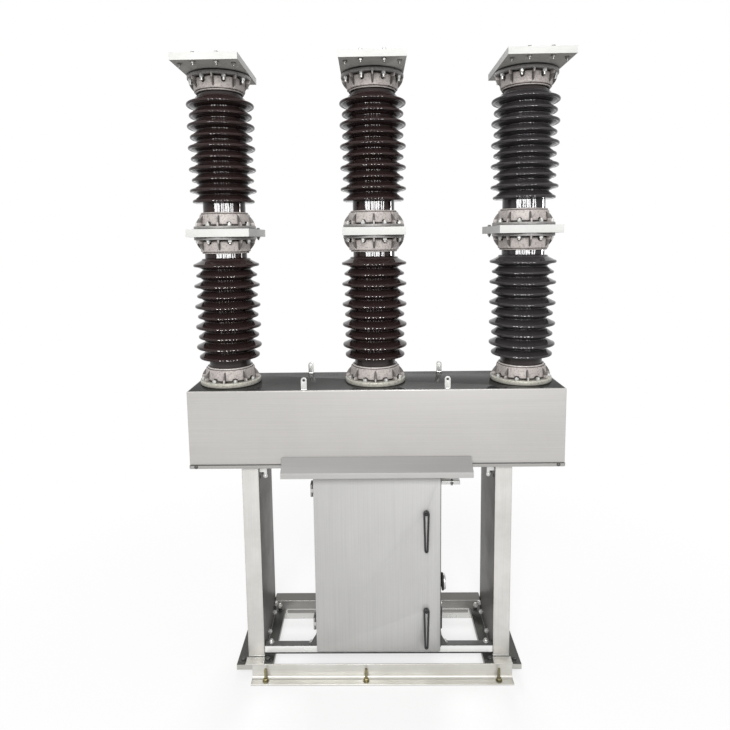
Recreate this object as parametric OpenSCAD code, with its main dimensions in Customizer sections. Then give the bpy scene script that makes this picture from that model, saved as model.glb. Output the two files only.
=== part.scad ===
// Outdoor vacuum circuit breaker: three porcelain poles on a sheet-metal
// drive beam, carried by two channel legs over an angle base frame, with the
// operating mechanism in a cabinet that hangs under the beam.
// Millimetres. +X to the right, +Y to the back, +Z up. The origin is on the
// ground, at the middle of the base.

/* [Poles] */
// Distance between the axes of neighbouring poles
pole_pitch = 710; // [600:5:900]
// Radius of the large porcelain sheds
shed_r_big = 155; // [140:1:175]
// Radius of the small porcelain sheds
shed_r_small = 144; // [125:1:160]
// Radius of the porcelain body between the sheds
core_r = 114; // [95:1:124]
// Radius of the smooth necks under and over the sheds
neck_r = 98; // [85:1:104]
// Distance between one shed and the next
shed_pitch = 49; // [47:0.5:60]
// Number of sheds on each insulator
shed_count = 10; // [4:1:14]
// Height of a shed at its rim
shed_rim = 10; // [5:0.5:14]
// Share of the height between two rims that a shed's upper face takes
shed_upper_share = 0.58; // [0.4:0.01:0.6]
// Share of the height between two rims that a shed's underside takes
shed_lower_share = 0.32; // [0.1:0.01:0.34]
// Smooth neck under the lower insulator's sheds
lower_neck_foot = 46; // [30:1:90]
// Smooth neck over the lower insulator's sheds
lower_neck_head = 55; // [38:1:90]
// Smooth neck under the upper insulator's sheds
upper_neck_foot = 52; // [30:1:90]
// Smooth neck over the upper insulator's sheds
upper_neck_head = 48; // [38:1:90]

/* [Pole fittings] */
// Radius of the ring that seats each pole on the beam
ring_r = 145; // [135:1:170]
// Height of the ring that seats each pole on the beam
ring_h = 24; // [10:1:40]
// Radius of the bolted flanges
flange_r = 145; // [130:1:170]
// Thickness of the bolted flanges
flange_t = 14; // [8:1:24]
// Radius of a casting where it meets its flange
cup_r_wide = 124; // [115:1:130]
// Radius of a casting where it grips the porcelain
cup_r_narrow = 117; // [110:1:124]
// Height of a casting without its flange
cup_h = 56; // [40:1:90]
// Height of the lip that closes a casting on the porcelain
lip_h = 8; // [5:0.5:20]
// Radius of that lip
lip_r = 109; // [105:0.5:114]
// Number of stiffening ribs around a casting
rib_count = 8; // [4:1:16]
// Thickness of a rib
rib_t = 7; // [4:0.5:12]
// How far the rounded back of a rib stands out from a straight slope
rib_bulge = 4; // [0:0.5:6]
// Height of the collar between the top flange and the top terminal
collar_h = 6; // [4:1:30]

/* [Terminals] */
// Width of a terminal pad
pad_w = 288; // [220:1:340]
// Length of a terminal pad, front to back
pad_len = 412; // [350:1:480]
// Thickness of the top terminal pads
pad_t = 30; // [12:1:45]
// Thickness of the terminal pads between the insulators
mid_pad_t = 36; // [12:1:45]
// How far a pad's long end reaches from the pole's axis
pad_reach = 262; // [200:1:320]
// Spacing of the terminal holes across the pad
pad_hole_x = 100; // [60:1:160]
// Spacing of the terminal holes along the pad
pad_hole_y = 44; // [30:1:60]
// Distance from the pad's long end to the nearer holes
pad_hole_edge = 22; // [16:1:40]
// Diameter of the terminal holes
pad_hole_d = 14; // [9:0.5:18]

/* [Beam] */
// Distance from an outer pole's axis to the end of the drive beam
beam_end = 164; // [150:1:400]
// Depth of the drive beam
beam_d = 372; // [355:1:500]
// Height of the drive beam
beam_h = 370; // [250:1:500]
// Thickness of the cover that closes the beam below
beam_cover_t = 8; // [3:1:20]
// Distance between the left and right lifting lugs
lug_span = 664; // [500:1:700]
// Distance of the lugs from the beam's front and back edges
lug_inset = 18; // [10:1:60]
// Width of a lifting lug
lug_w = 27; // [20:1:60]
// Height of a lifting lug
lug_h = 58; // [40:1:90]
// Thickness of a lifting lug
lug_t = 6; // [4:1:12]
// Diameter of the eye in a lifting lug
lug_eye_d = 13; // [8:0.5:18]

/* [Legs] */
// Height of the legs, with their end plates
leg_h = 966; // [700:1:1500]
// Distance between the inner faces of the two legs
leg_gap = 1112; // [1000:1:1300]
// Width of a leg seen from the front
leg_w = 79; // [50:1:95]
// Depth of a leg, front to back
leg_d = 344; // [300:1:366]
// Thickness of the leg's sheet
leg_t = 5; // [3:0.5:10]
// Thickness of the leg's end plates
leg_plate_t = 12; // [6:1:20]

/* [Base frame] */
// How far the base angles reach past the left side rail's inner edge
angle_over_left = 99.5; // [85:0.5:140]
// How far the base angles reach past the right side rail's inner edge
angle_over_right = 129.5; // [100:0.5:150]
// Height of the base angles
angle_h = 72; // [55:1:100]
// Reach of the base angles' foot, in front of the upright
angle_foot = 46; // [34:1:70]
// Thickness of the base angles
angle_t = 7; // [5:0.5:12]
// Distance between the outer faces of the two uprights
base_d = 447; // [436:1:560]
// Diameter of the anchor holes
anchor_d = 18; // [12:1:22]
// Distance from the base angles' left end to the first anchor hole
anchor_left_in = 68; // [40:1:200]
// Distance from the base angles' right end to the last anchor hole
anchor_right_in = 68; // [40:1:200]
// Distance of the middle anchor hole from the middle of the base, to the left
anchor_mid = 60; // [0:1:150]
// Width of the side rails
rail_w = 174; // [150:1:200]
// Height of the side rails
rail_h = 26; // [20:1:40]
// Thickness of the side rails' sheet
rail_t = 5; // [3:0.5:8]
// How far a side rail reaches inwards from its leg's inner face
rail_in = 47.5; // [36:0.5:66]
// Side of the square front cross member between the legs
cross_s = 40; // [25:1:60]
// Height of the front cross member's underside above the side rails
cross_lift = 18; // [5:1:60]
// Height of the back cross member, behind the cabinet
back_member_h = 50; // [30:1:80]
// Depth of the back cross member
back_member_d = 70; // [40:1:80]
// Height of the back cross member's underside above the side rails
back_member_lift = 40; // [20:1:70]

/* [Cabinet] */
// Width of the cabinet
cab_w = 594; // [450:1:800]
// Distance from the cabinet's front edge to the beam's middle
cab_front = 170; // [130:1:176]
// Distance from the cabinet's back to the beam's middle
cab_back = 136; // [110:1:140]
// Thickness of the cabinet's sheet
cab_t = 3; // [2:0.5:5]
// Width of the edge that frames the door opening
cab_edge = 22; // [10:1:40]
// Depth of the door pan
door_d = 25; // [15:1:40]
// Thickness of the door's sheet
door_t = 3; // [2:0.5:4]
// Gap between the door pan and the cabinet's front edge
door_gap = 5; // [5:0.5:8]
// How far the door hangs below the cabinet's floor
door_hang = 8; // [0:1:20]
// Gap between the door's top and the hood's lip
door_hood_gap = 6; // [5:1:20]
// Distance from the door's top to the upper hinge's middle
hinge_high_in = 80; // [55:1:200]
// Distance from the door's lower edge to the lower hinge's middle
hinge_low_in = 138; // [55:1:250]
// Distance from the hinge axis to the door's side
hinge_off = 8; // [7:0.5:12]
// Radius of a hinge knuckle
knuckle_r = 6; // [5:0.25:6.5]
// Height of one hinge
hinge_h = 60; // [40:1:100]
// Radius of a hinge pin
hinge_pin_r = 3; // [2:0.25:4]
// Length of a hinge leaf along the cabinet's side
leaf_len = 20; // [10:1:40]
// Distance from the cabinet's front edge to a hinge leaf
leaf_in = 6.5; // [2:0.5:30]

/* [Handles] */
// Distance from the door's free edge to the handles' pivots
handle_in = 67; // [40:1:100]
// Distance from the door's top to the upper handle's pivot
handle_high_in = 189; // [60:1:300]
// Distance from the door's lower edge to the lower handle's pivot
handle_low_in = 211; // [195:1:300]
// Distance from a handle's pivot to the middle of its narrow end
handle_len = 182; // [120:1:190]
// Radius of a handle's round head
handle_r = 16; // [12:0.5:22]
// Radius of a handle's narrow end
handle_end_r = 8; // [6:0.5:11]
// Thickness of the bar that a handle is bent from
handle_bar = 5; // [3:0.5:5.5]
// Depth of a handle
handle_t = 12; // [6:1:20]
// Gap between a handle and the door
handle_gap = 7; // [5:0.5:12]
// Radius of a handle's spindle
spindle_r = 5; // [4:0.5:8]
// Wall of the boss around a handle's spindle
boss_wall = 3; // [2:0.5:4]
// How far a spindle reaches past the door's sheet, inside the cabinet
spindle_in = 6; // [2:1:12]

/* [Hood] */
// Length of the hood over the door
hood_w = 879; // [600:1:1000]
// How far the hood reaches in front of the beam
hood_reach = 74; // [60:1:120]
// Height on the beam's face that the hood starts at
hood_start = 53; // [30:1:100]
// Drop of the hood's slope
hood_drop = 49; // [20:1:80]
// Height of the hood's front lip
hood_lip = 26; // [15:1:40]
// Thickness of the hood's sheet
hood_t = 3; // [2:0.5:6]

/* [Cabinet fittings] */
// Reach of a cabinet bracket's foot from the cabinet's side
bracket_leg = 38; // [25:1:60]
// Height of a cabinet bracket's upright
bracket_up = 61; // [30:1:90]
// Thickness of a cabinet bracket
bracket_t = 5; // [3:0.5:8]
// Reach of the manual lever's arm from the cabinet's right side
lever_reach = 100; // [60:1:140]
// Width of the lever's arm, front to back
lever_w = 36; // [20:1:60]
// Height of the lever's arm
lever_h = 18; // [12:1:40]
// Distance from the door's top to the underside of the lever's arm
lever_drop = 78; // [60:1:200]
// Distance from the cabinet's front edge to the lever's arm
lever_in = 30; // [5:1:120]
// Diameter of the crank cover on the cabinet's right side
crank_d = 80; // [50:1:120]
// Height of the crank cover's middle above the cabinet's floor
crank_up = 294; // [100:1:600]
// Distance from the cabinet's front edge to the crank cover's middle
crank_in = 60; // [50:1:200]
// Thickness of the crank cover's plate
crank_plate_t = 8; // [3:1:12]
// Height of the crank cover's boss
crank_boss_h = 20; // [12:1:40]
// Diameter of the crank cover's boss
crank_boss_d = 48; // [30:1:48]

/* [Hidden] */
$fn = 96;
FIT = 0.05;               // radial clearance of pins and spindles
POLES = ["left", "centre", "right"];

rail_top_z = angle_h;
beam_low_z = rail_top_z + leg_h;
beam_top_z = beam_low_z + beam_h;
cross_low_z = rail_top_z + cross_lift;
cab_low_z = cross_low_z + cross_s;
angle_web_y = base_d / 2;
rail_gap = leg_gap - 2 * rail_in;
angle_left_x = -rail_gap / 2 - angle_over_left;
angle_right_x = rail_gap / 2 + angle_over_right;
anchor_x = [angle_left_x + anchor_left_in, -anchor_mid, angle_right_x - anchor_right_in];

// Heights along a pole, above the beam
shed_stack_h = (shed_count - 1) * shed_pitch;
shed_top = shed_rim / 2 + shed_upper_share * (shed_pitch - shed_rim);
shed_foot = shed_rim / 2 + shed_lower_share * (shed_pitch - shed_rim);
cast_h = cup_h + lip_h;
low_insulator_z = ring_h + cast_h;
low_fitting_z = low_insulator_z + lower_neck_foot + shed_stack_h + lower_neck_head;
mid_pad_z = low_fitting_z + cast_h + flange_t;
up_fitting_z = mid_pad_z + mid_pad_t;
up_insulator_z = up_fitting_z + flange_t + cast_h;
top_fitting_z = up_insulator_z + upper_neck_foot + shed_stack_h + upper_neck_head;
top_pad_z = top_fitting_z + cast_h + flange_t + collar_h;

// Beam, cabinet and door
beam_w = 2 * (pole_pitch + beam_end);
hood_low_z = beam_low_z + hood_start - hood_drop - hood_lip;
door_low_z = cab_low_z - door_hang;
door_top_z = hood_low_z - door_hood_gap;
door_back_y = -cab_front - door_gap;
door_front_y = door_back_y - door_d;
hinge_x = -cab_w / 2 - hinge_off;
hinge_y = door_back_y - door_d / 2;
hinge_high_z = door_top_z - hinge_high_in;
hinge_low_z = door_low_z + hinge_low_in;
leaf_start = door_gap + door_d / 2 + leaf_in;
handle_x = cab_w / 2 - handle_in;
handle_high_z = door_top_z - handle_high_in;
handle_low_z = door_low_z + handle_low_in;
handle_back_y = door_front_y - handle_gap;

// ---------------------------------------------------------------- poles

// Moves its children to the foot of one pole, on the beam's top.
module at_pole(index)
    translate([(index - 1) * pole_pitch, 0, beam_top_z]) children();

// Outline of a shed from the body out to the rim and back, in the half plane
// of the axis. Both faces slope towards the rim, the upper one more steeply.
function shed_outline(z, r) = [
    [core_r, z - shed_foot],
    [r - 8, z - shed_rim / 2 - 1],
    [r - 2, z - shed_rim / 2 + 1],
    [r, z - 1],
    [r - 2, z + shed_rim / 2 - 1],
    [r - 8, z + shed_rim / 2 + 2],
    [core_r + 3, z + shed_top],
    [core_r, z + shed_top + 2]
];

// Radius of the shed with this number, counted from the foot: they alternate
// so that the highest is a large one.
function shed_r(i) = (shed_count - 1 - i) % 2 == 0 ? shed_r_big : shed_r_small;

// The necks flare out to the body close to the first and the last shed.
module insulator(neck_foot, neck_head)
    let (
        foot_free = neck_foot - shed_foot,
        head_free = neck_head - shed_top - 2,
        end = neck_foot + shed_stack_h + neck_head
    )
    color([0.17, 0.11, 0.11])
    rotate_extrude()
        polygon(concat(
            [[0, 0], [neck_r, 0], [neck_r, 0.85 * foot_free], [core_r, 0.98 * foot_free]],
            [for (i = [0 : shed_count - 1], p = shed_outline(neck_foot + i * shed_pitch, shed_r(i))) p],
            [[core_r, end - 0.98 * head_free], [neck_r, end - 0.8 * head_free], [neck_r, end], [0, end]]
        ));

module lower_insulator() insulator(lower_neck_foot, lower_neck_head);

module upper_insulator() insulator(upper_neck_foot, upper_neck_head);

// Casting that grips one end of an insulator. It stands on its flange or
// ring, at z = 0, and its lip is at the top.
module cup(foot_r, foot_t) {
    cylinder(r = foot_r, h = foot_t);
    translate([0, 0, foot_t])
        cylinder(r1 = cup_r_wide, r2 = cup_r_narrow, h = cup_h);
    translate([0, 0, foot_t + cup_h])
        cylinder(r = lip_r, h = lip_h);
    for (i = [0 : rib_count - 1])
        rotate([0, 0, i * 360 / rib_count])
        rib(foot_r, foot_t);
}

// One stiffening rib, from the flange's rim up the side of the casting.
module rib(foot_r, foot_t)
    translate([0, rib_t / 2, foot_t])
    rotate([90, 0, 0])
    linear_extrude(rib_t)
        polygon(concat(
            [[cup_r_narrow - rib_t, 0]],
            rib_back(foot_r - rib_t / 2, cup_r_narrow),
            [[cup_r_narrow - rib_t, cup_h]]
        ));

// Points up a rib's back, from its foot to its head: a straight slope with a
// parabola added that is highest halfway.
function rib_back(foot_r, head_r) =
    [for (i = [0 : 6]) let (s = i / 6)
        [foot_r + (head_r - foot_r) * s + 4 * rib_bulge * s * (1 - s), cup_h * s]];

module base_casting()
    color([0.62, 0.62, 0.60])
    cup(ring_r, ring_h);

module upper_fitting()
    color([0.62, 0.62, 0.60])
    cup(flange_r, flange_t);

module lower_fitting()
    color([0.62, 0.62, 0.60])
    translate([0, 0, cast_h + flange_t])
    mirror([0, 0, 1]) cup(flange_r, flange_t);

module top_fitting()
    color([0.62, 0.62, 0.60])
    union() {
        lower_fitting();
        translate([0, 0, cast_h + flange_t])
            cylinder(r = cup_r_wide, h = collar_h);
    }

// Flat terminal with its long end towards -Y and four clamp holes there.
module terminal_pad(thickness)
    color([0.86, 0.87, 0.86])
    difference() {
        translate([-pad_w / 2, -pad_reach, 0])
            cube([pad_w, pad_len, thickness]);
        for (x = [-1, 1], k = [0, 1])
            translate([x * pad_hole_x / 2, pad_hole_edge - pad_reach + k * pad_hole_y, -1])
            cylinder(d = pad_hole_d, h = thickness + 2, $fn = 48);
    }

// ------------------------------------------------------------ drive beam

module beam_housing()
    color([0.78, 0.77, 0.76])
    translate([-beam_w / 2, -beam_d / 2, beam_low_z + beam_cover_t])
        cube([beam_w, beam_d, beam_h - beam_cover_t]);

module beam_cover()
    color([0.70, 0.69, 0.68])
    translate([-beam_w / 2, -beam_d / 2, beam_low_z])
        cube([beam_w, beam_d, beam_cover_t]);

// Upright ear with a round top and an eye, on a small foot.
module lug()
    difference() {
        rotate([90, 0, 0])
        translate([0, 0, -lug_t / 2])
        linear_extrude(lug_t)
            union() {
                translate([-lug_w / 2, 0]) square([lug_w, lug_h - lug_w / 2]);
                translate([0, lug_h - lug_w / 2]) circle(d = lug_w, $fn = 48);
            }
        translate([0, lug_t, lug_h - lug_w / 2])
            rotate([90, 0, 0])
            cylinder(d = lug_eye_d, h = 2 * lug_t, $fn = 48);
    }

module lifting_lugs()
    color([0.80, 0.80, 0.78])
    for (x = [-1, 1], y = [-1, 1])
        translate([x * lug_span / 2, y * (beam_d / 2 - lug_inset), beam_top_z])
        lug();

// ------------------------------------------------------------------ legs

// Bent channel with its back towards the cabinet and a plate at each end.
module leg()
    color([0.80, 0.79, 0.77])
    translate([leg_gap / 2, -leg_d / 2, rail_top_z])
    union() {
        cube([leg_t, leg_d, leg_h]);
        cube([leg_w, leg_t, leg_h]);
        translate([0, leg_d - leg_t, 0]) cube([leg_w, leg_t, leg_h]);
        cube([leg_w, leg_d, leg_plate_t]);
        translate([0, 0, leg_h - leg_plate_t]) cube([leg_w, leg_d, leg_plate_t]);
    }

// ------------------------------------------------------------ base frame

// Tray-shaped rail on the right, open below. The base angles' uprights close
// its ends, and reach this far past its inner edge.
module side_rail(angle_over)
    color([0.42, 0.42, 0.41])
    translate([rail_gap / 2, 0, rail_top_z - rail_h])
    difference() {
        translate([0, -angle_web_y, 0]) cube([rail_w, base_d, rail_h]);
        translate([rail_t, rail_t - angle_web_y, -1])
            cube([rail_w - 2 * rail_t, base_d - 2 * rail_t, rail_h - rail_t + 1]);
        for (y = [-1, 1])
            translate([-1, y * (angle_web_y - (angle_t - 1) / 2) - (angle_t + 1) / 2, -1])
            cube([angle_over + 1, angle_t + 1, rail_h + 2]);
    }

// Angle with its foot to the front, drilled for the ground anchors.
module base_angle()
    color([0.80, 0.80, 0.76])
    translate([0, -angle_web_y, 0])
    difference() {
        translate([angle_left_x, 0, 0])
        union() {
            cube([angle_right_x - angle_left_x, angle_t, angle_h]);
            translate([0, -angle_foot, 0])
                cube([angle_right_x - angle_left_x, angle_foot + angle_t, angle_t]);
        }
        for (x = anchor_x)
            translate([x, -angle_foot / 2, -1])
            cylinder(d = anchor_d, h = angle_t + 2, $fn = 48);
    }

module cross_member_front()
    color([0.72, 0.71, 0.69])
    translate([-leg_gap / 2, -leg_d / 2, cross_low_z])
        cube([leg_gap, cross_s, cross_s]);

// Wider member that the cabinet's back is fixed to.
module cross_member_back()
    color([0.72, 0.71, 0.69])
    translate([-leg_gap / 2, cab_back, rail_top_z + back_member_lift])
        cube([leg_gap, back_member_d, back_member_h]);

// --------------------------------------------------------------- cabinet

// Sheet-metal box, open to the front, with an edge that frames the opening.
module cabinet()
    color([0.75, 0.75, 0.74])
    difference() {
        translate([-cab_w / 2, -cab_front, cab_low_z])
            cube([cab_w, cab_front + cab_back, beam_low_z - cab_low_z]);
        translate([cab_t - cab_w / 2, cab_t - cab_front, cab_low_z + cab_t])
            cube([cab_w - 2 * cab_t, cab_front + cab_back - 2 * cab_t,
                  beam_low_z - cab_low_z - 2 * cab_t]);
        translate([cab_edge - cab_w / 2, -cab_front - 1, cab_low_z + cab_edge])
            cube([cab_w - 2 * cab_edge, cab_t + 2, door_top_z - cab_low_z - 2 * cab_edge]);
    }

// Bent sheet that sheds rain over the door, with a cheek at each end.
module cabinet_hood()
    color([0.68, 0.67, 0.66])
    translate([-hood_w / 2, -beam_d / 2, beam_low_z + hood_start])
    rotate([90, 0, 90])
    union() {
        linear_extrude(hood_w) polygon(hood_sheet());
        linear_extrude(hood_t) polygon(hood_cheek());
        translate([0, 0, hood_w - hood_t]) linear_extrude(hood_t) polygon(hood_cheek());
    }

// Section of the hood's sheet: slope, then lip, one sheet thick.
function hood_sheet() = [
    [0, 0], [-hood_reach, -hood_drop], [-hood_reach, -hood_drop - hood_lip],
    [hood_t - hood_reach, -hood_drop - hood_lip], [hood_t - hood_reach, -hood_drop - hood_t],
    [0, -hood_t - hood_drop * hood_t / hood_reach]
];

// Outline of the hood's end cheek.
function hood_cheek() = [
    [0, 0], [-hood_reach, -hood_drop], [-hood_reach, -hood_drop - hood_lip],
    [0, -hood_start + 1]
];

// Angle with a gusset, which holds the cabinet down on the front cross member.
module bracket()
    rotate([90, 0, 0])
    union() {
        translate([0, 0, -cross_s / 2]) linear_extrude(cross_s) polygon([
            [0, 0], [bracket_leg, 0], [bracket_leg, bracket_t],
            [bracket_t, bracket_t], [bracket_t, bracket_up], [0, bracket_up]
        ]);
        translate([0, 0, cross_s / 2 - bracket_t]) linear_extrude(bracket_t) polygon([
            [0, 0], [bracket_leg, 0], [bracket_leg, bracket_t],
            [bracket_t, bracket_up], [0, bracket_up]
        ]);
    }

module cabinet_brackets()
    color([0.50, 0.50, 0.49])
    for (side = [0, 1])
        mirror([side, 0, 0])
        translate([cab_w / 2, -(leg_d - cross_s) / 2, cab_low_z])
        bracket();

// Fixed half of both hinges: leaf on the cabinet's side, two knuckles and
// the pin.
module hinge_leaves()
    color([0.60, 0.60, 0.58])
    for (z = [hinge_high_z, hinge_low_z])
        translate([hinge_x, hinge_y, z])
        union() {
            for (k = [-1, 1])
                translate([0, 0, k * hinge_h / 3])
                fixed_knuckle();
            cylinder(r = hinge_pin_r, h = hinge_h, center = true, $fn = 48);
        }

// One knuckle of the fixed half, with its arm back to the cabinet's side.
module fixed_knuckle() {
    cylinder(r = knuckle_r, h = hinge_h / 3, center = true, $fn = 48);
    translate([-knuckle_r, 0, -hinge_h / 6])
        cube([knuckle_r - 1, leaf_start + leaf_len, hinge_h / 3]);
    translate([-knuckle_r, leaf_start, -hinge_h / 6])
        cube([hinge_off + knuckle_r, leaf_len, hinge_h / 3]);
}

// Door pan, open to the cabinet, with its knuckles on the left and a bore
// for each handle's spindle.
module cabinet_door()
    color([0.76, 0.76, 0.75])
    difference() {
        union() {
            difference() {
                translate([-cab_w / 2, door_front_y, door_low_z])
                    cube([cab_w, door_d, door_top_z - door_low_z]);
                translate([door_t - cab_w / 2, door_front_y + door_t, door_low_z + door_t])
                    cube([cab_w - 2 * door_t, door_d, door_top_z - door_low_z - 2 * door_t]);
            }
            for (z = [hinge_high_z, hinge_low_z])
                translate([hinge_x, hinge_y, z])
                door_knuckle();
        }
        for (z = [hinge_high_z, hinge_low_z])
            translate([hinge_x, hinge_y, z])
            cylinder(r = hinge_pin_r + FIT, h = hinge_h, center = true, $fn = 48);
        for (z = [handle_high_z, handle_low_z])
            translate([handle_x, door_front_y - 1, z])
            rotate([-90, 0, 0])
            cylinder(r = spindle_r + FIT, h = door_t + 2, $fn = 48);
    }

// Knuckle between the two fixed ones, 1 mm clear of each.
module door_knuckle() {
    cylinder(r = knuckle_r, h = hinge_h / 3 - 2, center = true, $fn = 48);
    translate([0, -knuckle_r, 1 - hinge_h / 6])
        cube([hinge_off + 0.5, 2 * knuckle_r, hinge_h / 3 - 2]);
}

// Points of an arc about [x, y].
function arc(x, y, r, from, to, steps) =
    [for (i = [0 : steps]) let (a = from + (to - from) * i / steps) [x + r * cos(a), y + r * sin(a)]];

// Outline around two circles on one upright line: the head at the origin,
// and the smaller end below it.
function drop_outline(r, end_r) =
    let (a = asin((r - end_r) / handle_len))
    concat(arc(0, 0, r, a, 180 - a, 24), arc(0, -handle_len, end_r, 180 - a, 360 + a, 16));

// Long loop of flat bar with its spindle, pivoted at the round head.
module handle(z)
    color([0.08, 0.08, 0.08])
    translate([handle_x, handle_back_y, z])
    rotate([90, 0, 0])
    union() {
        linear_extrude(handle_t)
            difference() {
                polygon(drop_outline(handle_r, handle_end_r));
                polygon(drop_outline(handle_r - handle_bar, handle_end_r - handle_bar));
            }
        cylinder(r = spindle_r + boss_wall, h = handle_t - 2, $fn = 48);
        translate([-spindle_r, 0, 0])
            cube([2 * spindle_r, handle_r - 1, handle_t - 3]);
        translate([0, 0, -handle_gap - door_t - spindle_in])
            cylinder(r = spindle_r, h = handle_gap + door_t + spindle_in + 1, $fn = 48);
    }

// Arm that carries the manual lever's shaft, out from the cabinet's side.
module lever_bracket()
    color([0.62, 0.62, 0.61])
    translate([cab_w / 2, lever_in - cab_front, door_top_z - lever_drop])
        cube([lever_reach, lever_w, lever_h]);

// Round plate with a boss, over the crank's socket.
module crank_cover()
    color([0.45, 0.45, 0.44])
    translate([cab_w / 2, crank_in - cab_front, cab_low_z + crank_up])
    rotate([0, 90, 0])
    union() {
        cylinder(d = crank_d, h = crank_plate_t);
        cylinder(d = crank_boss_d, h = crank_boss_h);
    }

// --------------------------------------------------------------- drawing

for (i = [0 : len(POLES) - 1]) {
    p = POLES[i];
    at_pole(i) {
        base_casting();
        translate([0, 0, low_insulator_z]) lower_insulator();
        translate([0, 0, low_fitting_z]) lower_fitting();
        translate([0, 0, mid_pad_z]) mirror([0, 1, 0]) terminal_pad(mid_pad_t);
        translate([0, 0, up_fitting_z]) upper_fitting();
        translate([0, 0, up_insulator_z]) upper_insulator();
        translate([0, 0, top_fitting_z]) top_fitting();
        translate([0, 0, top_pad_z]) terminal_pad(pad_t);
    }
}
beam_housing();
beam_cover();
lifting_lugs();
mirror([1, 0, 0]) leg();  // leg_left
leg();  // leg_right
mirror([1, 0, 0]) side_rail(angle_over_left);  // side_rail_left
side_rail(angle_over_right);  // side_rail_right
base_angle();  // base_angle_front
mirror([0, 1, 0]) base_angle();  // base_angle_back
cross_member_front();
cross_member_back();
cabinet();
cabinet_hood();
cabinet_brackets();
hinge_leaves();
cabinet_door();
handle(handle_high_z);  // upper_handle
handle(handle_low_z);  // lower_handle
lever_bracket();
crank_cover();
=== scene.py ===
"""Looks of an outdoor vacuum circuit breaker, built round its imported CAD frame."""
import logging
import math
from dataclasses import dataclass, field
from enum import Enum
from typing import ClassVar, Iterable, Sequence

import bmesh
import bpy
import numpy as np
from mathutils import Matrix, Vector


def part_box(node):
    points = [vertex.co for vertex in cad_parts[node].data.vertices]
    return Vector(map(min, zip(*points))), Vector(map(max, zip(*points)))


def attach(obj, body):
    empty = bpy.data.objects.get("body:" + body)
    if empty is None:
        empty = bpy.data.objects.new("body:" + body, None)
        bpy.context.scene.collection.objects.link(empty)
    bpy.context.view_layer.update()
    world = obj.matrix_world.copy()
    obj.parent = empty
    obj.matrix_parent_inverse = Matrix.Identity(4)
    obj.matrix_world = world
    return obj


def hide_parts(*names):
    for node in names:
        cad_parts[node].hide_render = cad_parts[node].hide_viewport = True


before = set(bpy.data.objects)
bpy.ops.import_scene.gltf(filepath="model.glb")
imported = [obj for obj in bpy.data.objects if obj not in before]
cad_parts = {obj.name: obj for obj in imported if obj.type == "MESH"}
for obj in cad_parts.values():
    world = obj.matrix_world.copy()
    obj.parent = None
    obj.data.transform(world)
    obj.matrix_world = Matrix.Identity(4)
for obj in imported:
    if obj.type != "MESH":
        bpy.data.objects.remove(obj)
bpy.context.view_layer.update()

logging.basicConfig(level=logging.INFO, format="%(message)s")
LOG = logging.getLogger("breaker")
POLES = ("left", "centre", "right")
WHITE = (1.0, 1.0, 1.0, 1.0)

Colour = tuple[float, float, float]
Span = tuple[float, float]
Place = Sequence[float]
Socket = bpy.types.NodeSocket


# ------------------------------------------------------------------ places

def low(node: str) -> np.ndarray:
    """Lowest corner of a CAD node, in metres."""
    return np.array(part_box(node)[0], float)


def high(node: str) -> np.ndarray:
    """Highest corner of a CAD node, in metres."""
    return np.array(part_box(node)[1], float)


def middle(node: str) -> np.ndarray:
    """Middle of a CAD node's box, in metres."""
    return (low(node) + high(node)) / 2


class Body(str, Enum):
    """CAD bodies that a piece can ride on."""

    FRAME = "frame"
    DOOR = "door"
    UPPER_HANDLE = "upper_handle"
    LOWER_HANDLE = "lower_handle"


class Slot(str, Enum):
    """Material slots of the record."""

    PORCELAIN = "porcelain"
    CASTING = "cast_fitting"
    TERMINAL = "terminal"
    STAINLESS = "stainless"
    SHEET = "cabinet_sheet"
    ZINC = "zinc_steel"
    BLACK = "handle_black"


class Axis(Enum):
    """Directions a shape can point in, each with the rotation that takes +Z there."""

    UP = ((1, 0, 0), (0, 1, 0), (0, 0, 1))
    DOWN = ((1, 0, 0), (0, -1, 0), (0, 0, -1))
    FRONT = ((1, 0, 0), (0, 0, -1), (0, 1, 0))
    BACK = ((1, 0, 0), (0, 0, 1), (0, -1, 0))
    RIGHT = ((0, 0, 1), (0, 1, 0), (-1, 0, 0))
    LEFT = ((0, 0, -1), (0, 1, 0), (1, 0, 0))

    def turn(self, points: np.ndarray) -> np.ndarray:
        """Points of a shape drawn up +Z, turned to this direction."""
        return points @ np.array(self.value, float).T


# ---------------------------------------------------------------- finishes

def scaled(colour: Colour, factor: float) -> Colour:
    """Colour times a factor, held at white."""
    return tuple(min(1.0, c * factor) for c in colour)


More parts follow.
